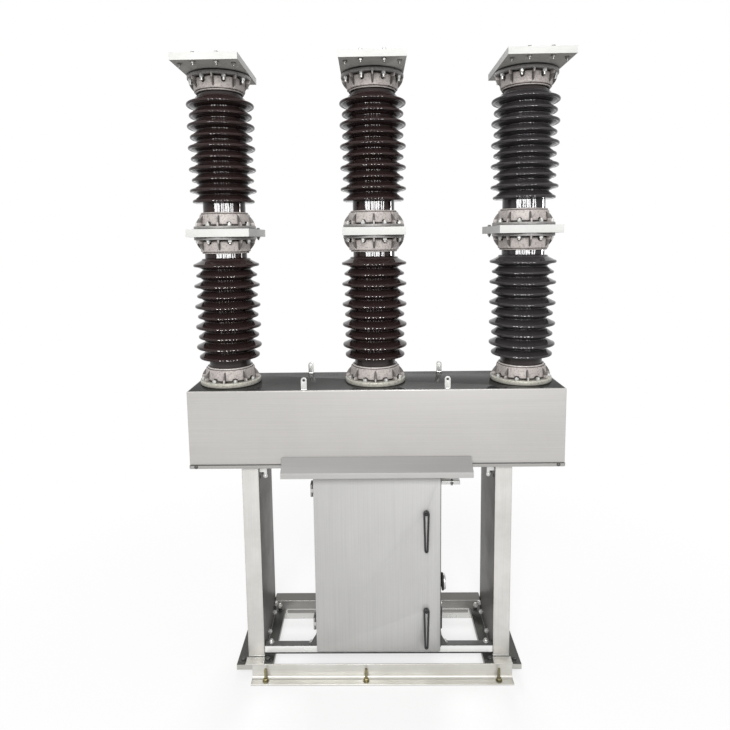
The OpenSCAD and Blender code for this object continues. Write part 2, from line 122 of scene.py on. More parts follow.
class Nodes:
    """A node tree while it is being wired."""

    def __init__(self, tree: bpy.types.NodeTree) -> None:
        """Empties the tree.

        Args:
            tree: Node tree of a material or a world.
        """
        self.tree = tree
        tree.nodes.clear()

    def feed(self, node: bpy.types.Node, inputs: dict[str | int, object]) -> bpy.types.Node:
        """Gives a node's inputs their values, or the sockets that feed them.

        Args:
            node: The node.
            inputs: Values and sockets, by the name or number of the input.

        Returns:
            The node.
        """
        for key, value in inputs.items():
            if isinstance(value, Socket):
                self.tree.links.new(value, node.inputs[key])
            else:
                node.inputs[key].default_value = value
        return node

    def add(self, kind: str, inputs: dict[str | int, object] | None = None,
            **settings: object) -> bpy.types.Node:
        """Adds a node.

        Args:
            kind: Its type, without ShaderNode in front.
            inputs: Values and sockets for its inputs.
            settings: Its other settings.

        Returns:
            The node.
        """
        node = self.tree.nodes.new(f"ShaderNode{kind}")
        for key, value in settings.items():
            setattr(node, key, value)
        return self.feed(node, inputs or {})

    def combined(self, operation: str, first: Socket, second: Socket) -> Socket:
        """Result of a sum on two values, such as MULTIPLY or MAXIMUM."""
        return self.add("Math", {0: first, 1: second}, operation=operation).outputs[0]

    def rays(self, first: str, *others: str) -> Socket:
        """1 for rays of any of the given kinds, and 0 for all others.

        Args:
            first: A kind of ray, such as Camera.
            others: Further kinds.

        Returns:
            The value.
        """
        path = self.add("LightPath")
        seen = path.outputs[f"Is {first} Ray"]
        for kind in others:
            seen = self.combined("MAXIMUM", seen, path.outputs[f"Is {kind} Ray"])
        return seen


class Shader(Nodes):
    """A material while it is being wired, with Object coordinates."""

    def __init__(self, name: str) -> None:
        """Starts a material with a surface shader.

        Args:
            name: Name of the material.
        """
        self.material = bpy.data.materials.new(name)
        self.material.use_nodes = True
        super().__init__(self.material.node_tree)
        self.surface = self.add("BsdfPrincipled")
        self.output = self.add("OutputMaterial", {"Surface": self.surface.outputs["BSDF"]})
        self.place = self.add("TexCoord").outputs["Object"]

    def noise(self, scale: float, detail: float = 3.0, rough: float = 0.55,
              stretch: Sequence[float] = (1, 1, 1)) -> Socket:
        """Value of a cloudy noise.

        Args:
            scale: Waves for each metre.
            detail: Number of finer layers.
            rough: Strength of the finer layers.
            stretch: Scale for each axis before the noise is read.

        Returns:
            The noise's value, from 0 to 1.
        """
        mapped = self.add("Mapping", {"Vector": self.place, "Scale": tuple(stretch)})
        return self.add("TexNoise", {"Vector": mapped.outputs["Vector"], "Scale": scale,
                                     "Detail": detail, "Roughness": rough}).outputs["Fac"]

    def span(self, value: Socket, low_in: float, high_in: float, low_out: float, high_out: float) -> Socket:
        """Value taken from one span to another, and held at its ends."""
        return self.add("MapRange", {"Value": value, "From Min": low_in, "From Max": high_in,
                                     "To Min": low_out, "To Max": high_out}).outputs["Result"]

    def blend(self, share: Socket, first: Colour | Socket, second: Colour | Socket) -> Socket:
        """Mix of two colours.

        Args:
            share: How much of the second colour is taken.
            first: Colour at a share of 0.
            second: Colour at a share of 1.

        Returns:
            The mixed colour.
        """
        ends = [(*c, 1.0) if isinstance(c, tuple) else c for c in (first, second)]
        return self.add("Mix", {"Factor": share, 6: ends[0], 7: ends[1]}, data_type="RGBA").outputs[2]

    def relief(self, height: Socket, depth: float) -> None:
        """Small relief of the surface, with the depth of a height of 1 in metres."""
        bump = self.add("Bump", {"Height": height, "Distance": depth, "Strength": 1.0})
        self.feed(self.surface, {"Normal": bump.outputs["Normal"]})

    def level(self, sign: int) -> Socket:
        """1 on level faces and 0 on upright ones, by the height of the normal: 0 up to 0.35, 1 from 0.75.

        Args:
            sign: 1 for faces that look up, and -1 for faces that look down.

        Returns:
            The value, from 0 to 1.
        """
        geometry = self.add("NewGeometry")
        split = self.add("SeparateXYZ", {0: geometry.outputs["True Normal"]})
        return self.span(split.outputs["Z"], sign * 0.35, sign * 0.75, 0, 1)

    def hollow(self, reach: float) -> Socket:
        """How shut in a point is: 0 in the open, 1 deep in a corner. The finishes darken by it to paint shade into
        corners.

        Args:
            reach: Distance within which neighbours count, in metres.

        Returns:
            The depth of the hollow.
        """
        shut = self.add("AmbientOcclusion", {"Distance": reach}, samples=6)
        return self.span(shut.outputs["AO"], 0.25, 0.95, 1.0, 0.0)

    def finished(self, inputs: dict[str, object]) -> bpy.types.Material:
        """The material, once its surface has these inputs."""
        self.feed(self.surface, inputs)
        return self.material


@dataclass(frozen=True)
class Porcelain:
    """Brown glaze with faint runs."""

    name: str
    colour: Colour
    warm: Colour
    shine: float = 0.2
    slot: Slot = Slot.PORCELAIN

    def material(self) -> bpy.types.Material:
        """The glaze: cloudy brown, with painted shade in its hollows, slightly wavy.

        Returns:
            The material.
        """
        s = Shader(self.name)
        cloud = s.span(s.noise(9, 4, 0.6, (1, 1, 0.35)), 0.35, 0.7, 0, 1)
        tone = s.blend(cloud, self.colour, self.warm)
        s.relief(s.noise(55, 2, 0.4, (1, 1, 0.5)), 0.0005)
        # Painted shade: the glaze darkens towards a deeper brown in its hollows.
        return s.finished({"Base Color": s.blend(s.hollow(0.035), tone, scaled(self.colour, 0.55)),
                           "Roughness": s.span(s.noise(40), 0.3, 0.7, 0.03, 0.05),
                           "Specular IOR Level": self.shine})


@dataclass(frozen=True)
class Cast:
    """Sand-cast aluminium: grainy, matt, with dark speckle and painted shade in its corners."""

    name: str
    colour: Colour
    speckle_and_shade: Colour
    metallic: float
    rough: Span = (0.42, 0.62)
    slot: Slot = Slot.CASTING

    def material(self) -> bpy.types.Material:
        """The casting skin: pale patches, two sizes of dark speckle, relief, and painted shade in its hollows.

        Returns:
            The material.
        """
        s = Shader(self.name)
        grain = s.noise(420, 4, 0.65)
        tone = s.blend(s.span(s.noise(22, 4, 0.6), 0.35, 0.68, 0, 1), self.colour, scaled(self.colour, 1.16))
        tone = s.blend(s.span(s.noise(230, 3, 0.7), 0.54, 0.70, 0, 0.5), tone, self.speckle_and_shade)
        tone = s.blend(s.span(s.noise(120, 2, 0.5), 0.5, 0.68, 0, 0.4), tone, self.speckle_and_shade)
        s.relief(grain, 0.0009)
        # Painted shade: the hollows take the dark speckle colour, standing in for shade in corners, grooves and
        # recesses.
        return s.finished({"Base Color": s.blend(s.hollow(0.02), tone, self.speckle_and_shade),
                           "Roughness": s.span(grain, 0.3, 0.7, *self.rough), "Metallic": self.metallic})


@dataclass(frozen=True)
class Steel:
    """Sheet or section of metal with a grain direction."""

    name: str
    colour: Colour
    marks_and_shade: Colour
    grain: tuple[float, float, float]
    metallic: float
    rough: Span
    slot: Slot = Slot.STAINLESS
    depth: float = 0.00005
    edge: float = 1.0
    # top and below: darker colours for faces that look up and faces that look down, painted shade that stands in for
    # how light falls on them.
    top: Colour | None = None
    below: Colour | None = None
    shine: float = 0.5
    # reach: how far the painted shade in corners spreads.
    reach: float = 0.012

    def material(self) -> bpy.types.Material:
        """The sheet: fine streaks along the grain, cloudy handling marks, painted shade in its corners, and painted
        shade on faces that look up and faces that look down, where the finish gives them a colour.

        Returns:
            The material.
        """
        s = Shader(self.name)
        streak = s.noise(1.0, 2, 0.5, self.grain)
        cloud = s.noise(4.5, 5, 0.62)
        tone = s.blend(s.span(cloud, 0.35, 0.7, 0, 0.8), self.colour, self.marks_and_shade)
        # Painted shade: faces that look up, and faces that look down, take their own darker colour.
        for sign, colour in ((1, self.top), (-1, self.below)):
            if colour:
                tone = s.blend(s.level(sign), tone, colour)
        tone = s.blend(s.span(streak, 0.4, 0.7, 0, 0.16), tone, scaled(self.marks_and_shade, 0.5))
        s.relief(streak, self.depth)
        # Painted shade: corners darken towards a deep share of the marks colour.
        return s.finished({"Base Color": s.blend(s.hollow(self.reach), tone, scaled(self.marks_and_shade, 0.3)),
                           "Roughness": s.span(cloud, 0.3, 0.7, *self.rough), "Metallic": self.metallic,
                           "Specular IOR Level": self.shine, "Specular Tint": (*[self.edge] * 3, 1.0)})


@dataclass(frozen=True)
class Plain:
    """Rubber or plastic with a fine skin."""

    name: str
    colour: Colour
    worn: Colour
    rough: Span
    slot: Slot = Slot.BLACK

    def material(self) -> bpy.types.Material:
        """The skin: slight mottling and a fine relief.

        Returns:
            The material.
        """
        s = Shader(self.name)
        cloud = s.noise(60, 4, 0.6)
        s.relief(s.noise(900, 2), 0.0002)
        return s.finished({"Base Color": s.blend(s.span(cloud, 0.4, 0.72, 0, 1), self.colour, self.worn),
                           "Roughness": s.span(cloud, 0.3, 0.7, *self.rough)})


AnyFinish = Porcelain | Cast | Steel | Plain


class Finish:
    """Every finish of the breaker, each made into a material once."""

    GLAZE = Porcelain("glaze_brown", (0.027, 0.0165, 0.0158), (0.037, 0.0215, 0.0205))
    GLAZE_GREY = Porcelain("glaze_greyed", (0.042, 0.038, 0.040), (0.053, 0.048, 0.050))
    GLAZE_NECK = Porcelain("glaze_neck", (0.045, 0.036, 0.034), (0.065, 0.055, 0.052))
    CAST = Cast("cast_aluminium", (0.50, 0.456, 0.432), (0.05, 0.045, 0.042), 0.15)
    # Darker copy of the casting finish for the ribs: painted shade on their sides.
    CAST_RIB_SHADED = Cast("cast_rib_shaded", (0.17, 0.155, 0.147), (0.03, 0.028, 0.026), 0.15)
    # Lighter copy of the casting finish for the lip of the base castings: painted highlight.
    CAST_LIP_LIT = Cast("lip_highlight", (0.66, 0.61, 0.585), (0.30, 0.27, 0.26), 0.2, (0.3, 0.45))
    CAST_FLANGE = Cast("cast_flange", (0.33, 0.32, 0.31), (0.08, 0.075, 0.07), 0.2)
    CAST_RING = Cast("machined_ring", (0.56, 0.55, 0.48), (0.12, 0.11, 0.10), 0.2, (0.35, 0.5))
    # The pads' undersides take a darker colour: painted shade.
    TERMINAL = Steel("silvered_terminal", (0.77, 0.77, 0.75), (0.69, 0.69, 0.67), (40, 700, 700),
                     0.0, (0.6, 0.7), Slot.TERMINAL, below=(0.42, 0.41, 0.385), shine=0.25)
    BEAM = Steel("brushed_beam", (0.565, 0.55, 0.53), (0.525, 0.51, 0.49), (2, 40, 700), 0.4, (0.34, 0.44))
    # Dark mirror finish of the beam's top: painted reflection, for the dark surroundings the top would mirror.
    BEAM_TOP = Steel("beam_top_sheet", (0.24, 0.24, 0.238), (0.17, 0.17, 0.168), (2, 500, 500),
                     0.85, (0.09, 0.16), edge=0.2, depth=0.00002)
    BEAM_HEM = Steel("beam_hem", (0.43, 0.42, 0.405), (0.38, 0.37, 0.355), (2, 40, 700), 0.4, (0.34, 0.44))
    # Lighter copy of the base angles' steel for the rear angle: painted light on its front face.
    REAR_LIT = Steel("rear_section_lit", (0.76, 0.755, 0.735), (0.66, 0.655, 0.635), (3, 300, 700),
                 0.5, (0.22, 0.34), reach=0.003)
    LEG = Steel("leg_flange", (0.74, 0.725, 0.695), (0.57, 0.555, 0.525), (700, 700, 3), 0.4, (0.3, 0.42))
    # Dark copy of the leg steel for the webs, which face each other: painted shade.
    WEB_SHADED = Steel("leg_web_shaded", (0.238, 0.23, 0.221), (0.17, 0.165, 0.158), (400, 700, 2),
                0.6, (0.35, 0.5), edge=0.4, depth=0.0001)
    BASE = Steel("base_section", (0.68, 0.67, 0.63), (0.55, 0.54, 0.49), (3, 300, 700),
                 0.4, (0.3, 0.45), reach=0.004)
    # The rails' tops take a near-black colour: painted shade.
    RAIL = Steel("rail_section", (0.56, 0.555, 0.52), (0.42, 0.415, 0.38), (500, 3, 700),
                 0.6, (0.25, 0.38), edge=0.4, top=(0.085, 0.085, 0.08))
    # The cross member's top takes a near-black colour: painted shade.
    MEMBER = Steel("member_tube", (0.95, 0.945, 0.93), (0.88, 0.875, 0.86), (3, 500, 700),
                   0.2, (0.22, 0.36), edge=0.6, top=(0.10, 0.10, 0.098), reach=0.002)
    # Darker copy of the cross member's steel: painted shade on the back member and the clamp bolts; the hinges and
    # the rear flat bar use it too.
    MEMBER_SHADED = Steel("member_shaded", (0.38, 0.37, 0.355), (0.28, 0.27, 0.26), (3, 500, 700),
                        0.6, (0.25, 0.4), edge=0.4, top=(0.17, 0.165, 0.155))
    SHEET = Steel("cabinet_sheet", (0.565, 0.56, 0.55), (0.53, 0.525, 0.515), (260, 260, 2),
                  0.2, (0.36, 0.46), Slot.SHEET, reach=0.006)
    # The hood's sloping top takes a darker colour: painted shade.
    HOOD = Steel("hood_sheet", (0.54, 0.53, 0.515), (0.50, 0.49, 0.48), (2, 260, 260),
                 0.25, (0.34, 0.44), Slot.SHEET, top=(0.37, 0.365, 0.36), reach=0.006)
    ZINC = Steel("zinc_plate", (0.80, 0.80, 0.78), (0.62, 0.62, 0.60), (90, 90, 90),
                 0.6, (0.22, 0.4), Slot.ZINC, reach=0.004)
    ZINC_YELLOW = Steel("zinc_yellow", (0.30, 0.26, 0.13), (0.18, 0.165, 0.11), (90, 90, 90),
                        0.7, (0.25, 0.42), Slot.ZINC)
    DARK_STEEL = Steel("dark_steel", (0.14, 0.14, 0.135), (0.09, 0.09, 0.088), (90, 90, 90),
                       0.7, (0.3, 0.45), Slot.ZINC, edge=0.5)
    BLACK = Plain("handle_black", (0.012, 0.012, 0.013), (0.022, 0.022, 0.023), (0.3, 0.42))
    RUBBER = Plain("seal_rubber", (0.02, 0.02, 0.02), (0.032, 0.031, 0.03), (0.6, 0.75))
    _made: ClassVar[dict[str, bpy.types.Material]] = {}

    @classmethod
    def made(cls, finish: AnyFinish) -> bpy.types.Material:
        """The material of a finish, made when it is first asked for.

        Args:
            finish: The finish.

        Returns:
            Its material.
        """
        if finish.name not in cls._made:
            cls._made[finish.name] = finish.material()
        return cls._made[finish.name]


# ------------------------------------------------------------------- shapes

@dataclass
class Skin:
    """Surfaces gathered for one piece: points, and faces as runs of corners."""

    points: list[np.ndarray] = field(default_factory=list)
    corners: list[np.ndarray] = field(default_factory=list)
    counts: list[np.ndarray] = field(default_factory=list)
    size: int = 0

    @classmethod
    def loft(cls, rows: np.ndarray, capped: bool = True, inside_out: bool = False) -> "Skin":
        """Surface through rows of points, each of which closes on itself.

        Face (i, j) has the corners (i, j), (i, j+1), (i+1, j+1), (i+1, j).

        Args:
            rows: Array of rows by points by three.
            capped: Whether a face closes the first row and the last.
            inside_out: Whether the faces' corners run the other way round.

        Returns:
            The surface.
        """
        n, m = rows.shape[:2]
        i, j = np.meshgrid(np.arange(n - 1), np.arange(m), indexing="ij")
        k = (j + 1) % m
        faces = [np.stack([i * m + j, i * m + k, (i + 1) * m + k, (i + 1) * m + j], -1).reshape(-1, 4)]
        if capped:
            faces += [np.arange(m)[None, ::-1], ((n - 1) * m + np.arange(m))[None]]
        if inside_out:
            faces = [group[:, ::-1] for group in faces]
        return cls().add(rows, faces)

    def add(self, points: np.ndarray, faces: Iterable[np.ndarray]) -> "Skin":
        """Adds a patch.

        Args:
            points: Its points, in rows of three.
            faces: Arrays of faces, each with one number of corners for a face.

        Returns:
            This skin.
        """
        flat = np.asarray(points, float).reshape(-1, 3)
        self.points.append(flat)
        for group in faces:
            self.corners.append((group + self.size).ravel())
            self.counts.append(np.full(len(group), group.shape[1]))
        self.size += len(flat)
        return self

    def join(self, other: "Skin", copies: Sequence[Place] = ((0, 0, 0),)) -> "Skin":
        """Adds another skin.

        Args:
            other: The skin to add.
            copies: How far each copy of it is moved.

        Returns:
            This skin.
        """
        points = np.concatenate(other.points)
        corners, counts = np.concatenate(other.corners), np.concatenate(other.counts)
        places = np.asarray(copies, float)
        self.points.append((points[None] + places[:, None]).reshape(-1, 3))
        offsets = self.size + np.arange(len(places)) * len(points)
        self.corners.append((corners[None] + offsets[:, None]).ravel())
        self.counts.append(np.tile(counts, len(places)))
        self.size += len(points) * len(places)
        return self

    def shaped(self, points: np.ndarray) -> "Skin":
        """A copy with other points."""
        return Skin([points], [np.concatenate(self.corners)], [np.concatenate(self.counts)], self.size)

    def moved(self, place: Place = (0, 0, 0), axis: Axis = Axis.UP, spin: float = 0.0) -> "Skin":
        """A copy that is spun, turned and moved, in that order.

        Args:
            place: How far it is moved.
            axis: Where its +Z then points.
            spin: Angle about its +Z, in radians.

        Returns:
            The copy.
        """
        c, s = math.cos(spin), math.sin(spin)
        points = np.concatenate(self.points) @ np.array([[c, s, 0], [-s, c, 0], [0, 0, 1.0]])
        return self.shaped(axis.turn(points) + np.asarray(place, float))

    def flipped(self, height: float) -> "Skin":
        """A copy turned upside down within a height: z becomes height - z, y becomes -y."""
        return self.shaped(np.concatenate(self.points) * (1, -1, -1) + (0, 0, height))

    def mesh(self, name: str, crease: float = 32.0) -> bpy.types.Mesh:
        """The finished mesh, with doubled points merged.

        Args:
            name: Name of the mesh.
            crease: Angle in degrees above which an edge stays sharp.

        Returns:
            The mesh.
        """
        points = np.concatenate(self.points)
        corners, counts = np.concatenate(self.corners), np.concatenate(self.counts)
        mesh = bpy.data.meshes.new(name)
        mesh.vertices.add(len(points))
        mesh.vertices.foreach_set("co", points.astype(np.float32).ravel())
        mesh.loops.add(len(corners))
        mesh.loops.foreach_set("vertex_index", corners.astype(np.int32))
        mesh.polygons.add(len(counts))
        mesh.polygons.foreach_set("loop_start", (np.cumsum(counts) - counts).astype(np.int32))
        mesh.update(calc_edges=True)
        work = bmesh.new()
        work.from_mesh(mesh)
        bmesh.ops.remove_doubles(work, verts=work.verts, dist=2e-6)
        work.to_mesh(mesh)
        work.free()
        mesh.polygons.foreach_set("use_smooth", np.ones(len(mesh.polygons), bool))
        mesh.set_sharp_from_angle(angle=math.radians(crease))
        return mesh


def circle(sides: int) -> np.ndarray:
    """Angles of points evenly round a circle, in radians."""
    return np.arange(sides) * 2 * np.pi / sides


def turned(profile: Sequence[Place], sides: int = 96, ring: bool = False) -> Skin:
    """Shape turned about +Z.

    Point (i, j) is (r_i cos a_j, r_i sin a_j, z_i), with a_j running once round.

    Args:
        profile: (radius, z) pairs, counter-clockwise seen with the radius to the right.
        sides: Number of points round the axis.
        ring: Whether the last pair meets the first, or a flat face closes each end.

    Returns:
        The shape.
    """
    rz = np.asarray(profile, float)
    if ring:
        rz = np.concatenate([rz, rz[:1]])
    a = circle(sides)
    rows = np.stack([rz[:, :1] * np.cos(a), rz[:, :1] * np.sin(a), np.repeat(rz[:, 1:], sides, 1)], -1)
    return Skin.loft(rows, capped=not ring)


def arc(centre: Place, radius: float, start: float, end: float, steps: int) -> np.ndarray:
    """Points centre + radius (cos a, sin a), with a in degrees from start to end."""
    a = np.radians(np.linspace(start, end, steps))
    return np.asarray(centre, float) + radius * np.stack([np.cos(a), np.sin(a)], -1)


def soft_box(corner: Place, opposite: Place, edge: float, corner_steps: int = 4, rim_steps: int = 3) -> Skin:
    """Box with all its edges rounded: a rounded rectangle carried up z.

    Row k is the rectangle moved inwards by edge (1 - sin a_k), at the height base + edge (1 - cos a_k)
    below and the same mirrored above.

    Args:
        corner: One corner.
        opposite: The corner opposite to it.
        edge: Radius of the edges, which is held under half the box's least size.
        corner_steps: Points round each corner of the rectangle.
        rim_steps: Steps in each rim.

    Returns:
        The box.
    """
    a, b = np.minimum(corner, opposite).astype(float), np.maximum(corner, opposite).astype(float)
    edge = min(edge, *(0.49 * (b - a)))
    spots = ((b[0] - edge, a[1] + edge, -90), (b[0] - edge, b[1] - edge, 0),
             (a[0] + edge, b[1] - edge, 90), (a[0] + edge, a[1] + edge, 180))
    xy = np.concatenate([arc((x, y), edge, t, t + 90, corner_steps) for x, y, t in spots])
    ahead, behind = np.roll(xy, -1, 0) - xy, xy - np.roll(xy, 1, 0)
    normals = [np.stack([d[:, 1], -d[:, 0]], -1) / np.maximum(np.linalg.norm(d, axis=1, keepdims=True), 1e-9)
               for d in (ahead, behind)]
    mid = normals[0] + normals[1]
    mid = mid / np.maximum(np.sum(mid * normals[0], 1, keepdims=True), 0.3)
    t = np.linspace(0, np.pi / 2, rim_steps + 1)
    inset = np.concatenate([edge * (1 - np.sin(t)), edge * (1 - np.sin(t[::-1]))])
    heights = np.concatenate([a[2] + edge * (1 - np.cos(t)), b[2] - edge * (1 - np.cos(t[::-1]))])
    levels = np.broadcast_to(heights[:, None, None], (len(heights), len(xy), 1))
    return Skin.loft(np.concatenate([xy[None] - mid[None] * inset[:, None, None], levels], -1))


def tube(path: Sequence[Place], radius: float, sides: int = 12) -> Skin:
    """Round rod along an open path, closed at both ends.

    Ring i is path_i + radius (cos a u_i + sin a v_i), with u_i and v_i square to the path's direction.

    Args:
        path: Points of the middle line.
        radius: Radius of the rod.
        sides: Points round the rod.

    Returns:
        The rod.
    """
    path = np.asarray(path, float)
    along = np.gradient(path, axis=0)
    along /= np.linalg.norm(along, axis=1, keepdims=True)
    spare = np.eye(3)[np.argmin(np.abs(along).max(0))]
    u = np.cross(along, spare)
    u /= np.linalg.norm(u, axis=1, keepdims=True)
    v = np.cross(along, u)
    a = circle(sides)[None, :, None]
    return Skin.loft(path[:, None] + radius * (np.cos(a) * u[:, None] + np.sin(a) * v[:, None]))


def bead(start: Place, end: Place, radius: float, ripple: float = 0.25, pitch: float = 0.006) -> Skin:
    """Weld bead along a line: a rod whose radius swells by ripple every pitch.

    The radius at a distance s is radius (1 + ripple |sin(pi s / pitch)|) / (1 + ripple).

    Args:
        start: One end of the line.
        end: Its other end.
        radius: Radius of the bead.
        ripple: How much each ripple swells it.
        pitch: Distance from one ripple to the next.

    Returns:
        The bead.
    """
    sides = 8
    start, end = np.asarray(start, float), np.asarray(end, float)
    length = np.linalg.norm(end - start)
    steps = int(np.clip(length / pitch * 2, 4, 240)) + 1
    s = np.linspace(0, 1, steps)[:, None]
    line = start + s * (end - start)
    rod = tube(line, 1.0, sides)
    size = radius * (1 + ripple * np.abs(np.sin(np.pi * s * length / pitch))) / (1 + ripple)
    size[[0, -1]] *= 0.4
    spokes = rod.points[0].reshape(steps, sides, 3) - line[:, None]
    return rod.shaped((line[:, None] + spokes * size[:, None]).reshape(-1, 3))


# -------------------------------------------------------------- hardware

@dataclass(frozen=True)
class Bolt:
    """Hexagon bolt or nut with its washer, seen from outside. Sizes in metres."""

    across: float
    head: float
    washer: float
    washer_t: float = 0.0025
    stud: float = 0.0
    stud_r: float = 0.006
    thread: ClassVar[float] = 0.0016

    def skin(self) -> Skin:
        """The bolt up +Z from z = 0: washer, chamfered hexagon with a dished face, and any stud end.

        The stud's radius falls by 7% at every second row of its thread.

        Returns:
            The bolt.
        """
        t, w = self.washer_t, self.washer
        skin = turned([(w - 0.0005, 0), (w, 0.0005), (w, t - 0.0005), (w - 0.0006, t)], 20)
        r = self.across / math.sqrt(3)
        top = t + self.head
        skin.join(turned([(r, t), (r, top - 0.18 * r), (0.86 * r, top)], 6))
        skin.join(turned([(0.80 * r, top - 0.001), (0.80 * r, top + 0.0004), (0.6 * r, top + 0.0006)], 20))
        if self.stud > 0:
            rows = max(3, int(self.stud / self.thread))
            ridge = self.stud_r * (1 - 0.07 * (np.arange(rows) % 2))
            skin.join(turned(np.column_stack([ridge, np.linspace(top, top + self.stud, rows)]), 12))
        return skin


@dataclass(frozen=True)
class Screw:
    """Button-head screw with a hexagon socket on a small washer."""

    radius: float
    height: float

    def skin(self) -> Skin:
        """The screw up +Z from z = 0: a head domed along an ellipse, with a sunken hexagon.

        Returns:
            The screw.
        """
        r, h, t = self.radius, self.height, 0.001
        dome = arc((0, 0), 1.0, 0, 62, 6) * (r, h) + (0, t)
        skin = turned(np.concatenate([[(1.35 * r, 0), (1.35 * r, 0.0008), (r, t)], dome]), 20)
        return skin.join(turned([(0.46 * r, t + 0.4 * h), (0.46 * r, t + 0.93 * h)], 6))


def scatter(template: Bolt | Screw | Skin, places: Sequence[Place], axis: Axis = Axis.UP) -> Skin:
    """Copies of a piece of hardware that point along one axis, at several places."""
    skin = template if isinstance(template, Skin) else template.skin()
    return Skin().join(skin.moved(axis=axis), places)


# ------------------------------------------------------------------ pieces

class Maker:
    """Puts finished shapes into the scene and counts them."""

    count: ClassVar[int] = 0
    triangles: ClassVar[int] = 0

    @classmethod
    def place(cls, name: str, mesh: bpy.types.Mesh, finish: AnyFinish, body: Body = Body.FRAME,
              nodes: Sequence[str] = ()) -> bpy.types.Object:
        """Adds a mesh as a piece.

        Args:
            name: Name of the piece.
            mesh: Its mesh, already in place.
            finish: Its finish.
            body: The CAD body it rides on.
            nodes: CAD nodes it stands for.

        Returns:
            The new object.
        """
        piece = bpy.data.objects.new(name, mesh)
        bpy.context.scene.collection.objects.link(piece)
        mesh.materials.clear()
        mesh.materials.append(Finish.made(finish))
        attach(piece, body.value)
        if nodes:
            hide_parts(*nodes)
        cls.count += 1
        cls.triangles += sum(len(p.vertices) - 2 for p in mesh.polygons)
        LOG.info("piece %s: %d faces, %s", name, len(mesh.polygons), finish.name)
        return piece

    @classmethod
    def skin(cls, name: str, skin: Skin, finish: AnyFinish, body: Body = Body.FRAME,
             nodes: Sequence[str] = (), crease: float = 32.0) -> bpy.types.Object:
        """Adds gathered surfaces as a piece.

        Args:
            name: Name of the piece.
            skin: Its surfaces, already in place.
            finish: Its finish.
            body: The CAD body it rides on.
            nodes: CAD nodes it stands for.
            crease: Angle in degrees above which an edge stays sharp.

        Returns:
            The new object.
        """
        return cls.place(name, skin.mesh(name, crease), finish, body, nodes)

    @classmethod
    def dressed(cls, name: str, node: str, finish: AnyFinish, edge: float, segments: int = 2,
                body: Body = Body.FRAME) -> bpy.types.Object:
        """Adds a copy of a CAD node with softened edges, which stands for it.

        Args:
            name: Name of the piece.
            node: The CAD node.
            finish: Its finish.
            edge: Most that the softened edges are wide. The modifier holds the width back, and on the
                whole piece, where a mesh has short edges, such as those round a hole.
            segments: Steps across an edge.
            body: The CAD body it rides on.

        Returns:
            The new object.
        """
        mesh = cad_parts[node].data.copy()
        work = bmesh.new()
        work.from_mesh(mesh)
        bmesh.ops.remove_doubles(work, verts=work.verts, dist=1e-6)
        bmesh.ops.dissolve_limit(work, angle_limit=math.radians(0.5), verts=work.verts, edges=work.edges,
                                 use_dissolve_boundaries=False)
        work.to_mesh(mesh)
        work.free()
        mesh.attributes.active = None
        mesh.polygons.foreach_set("use_smooth", np.ones(len(mesh.polygons), bool))
        piece = cls.place(name, mesh, finish, body, (node,))
        bevel = piece.modifiers.new("edges", "BEVEL")
        bevel.width = edge
        bevel.segments = segments
        bevel.limit_method = "ANGLE"
        bevel.angle_limit = math.radians(35)
        bevel.harden_normals = True
        bevel.miter_outer = "MITER_ARC"
        return piece


# ------------------------------------------------------------------- poles

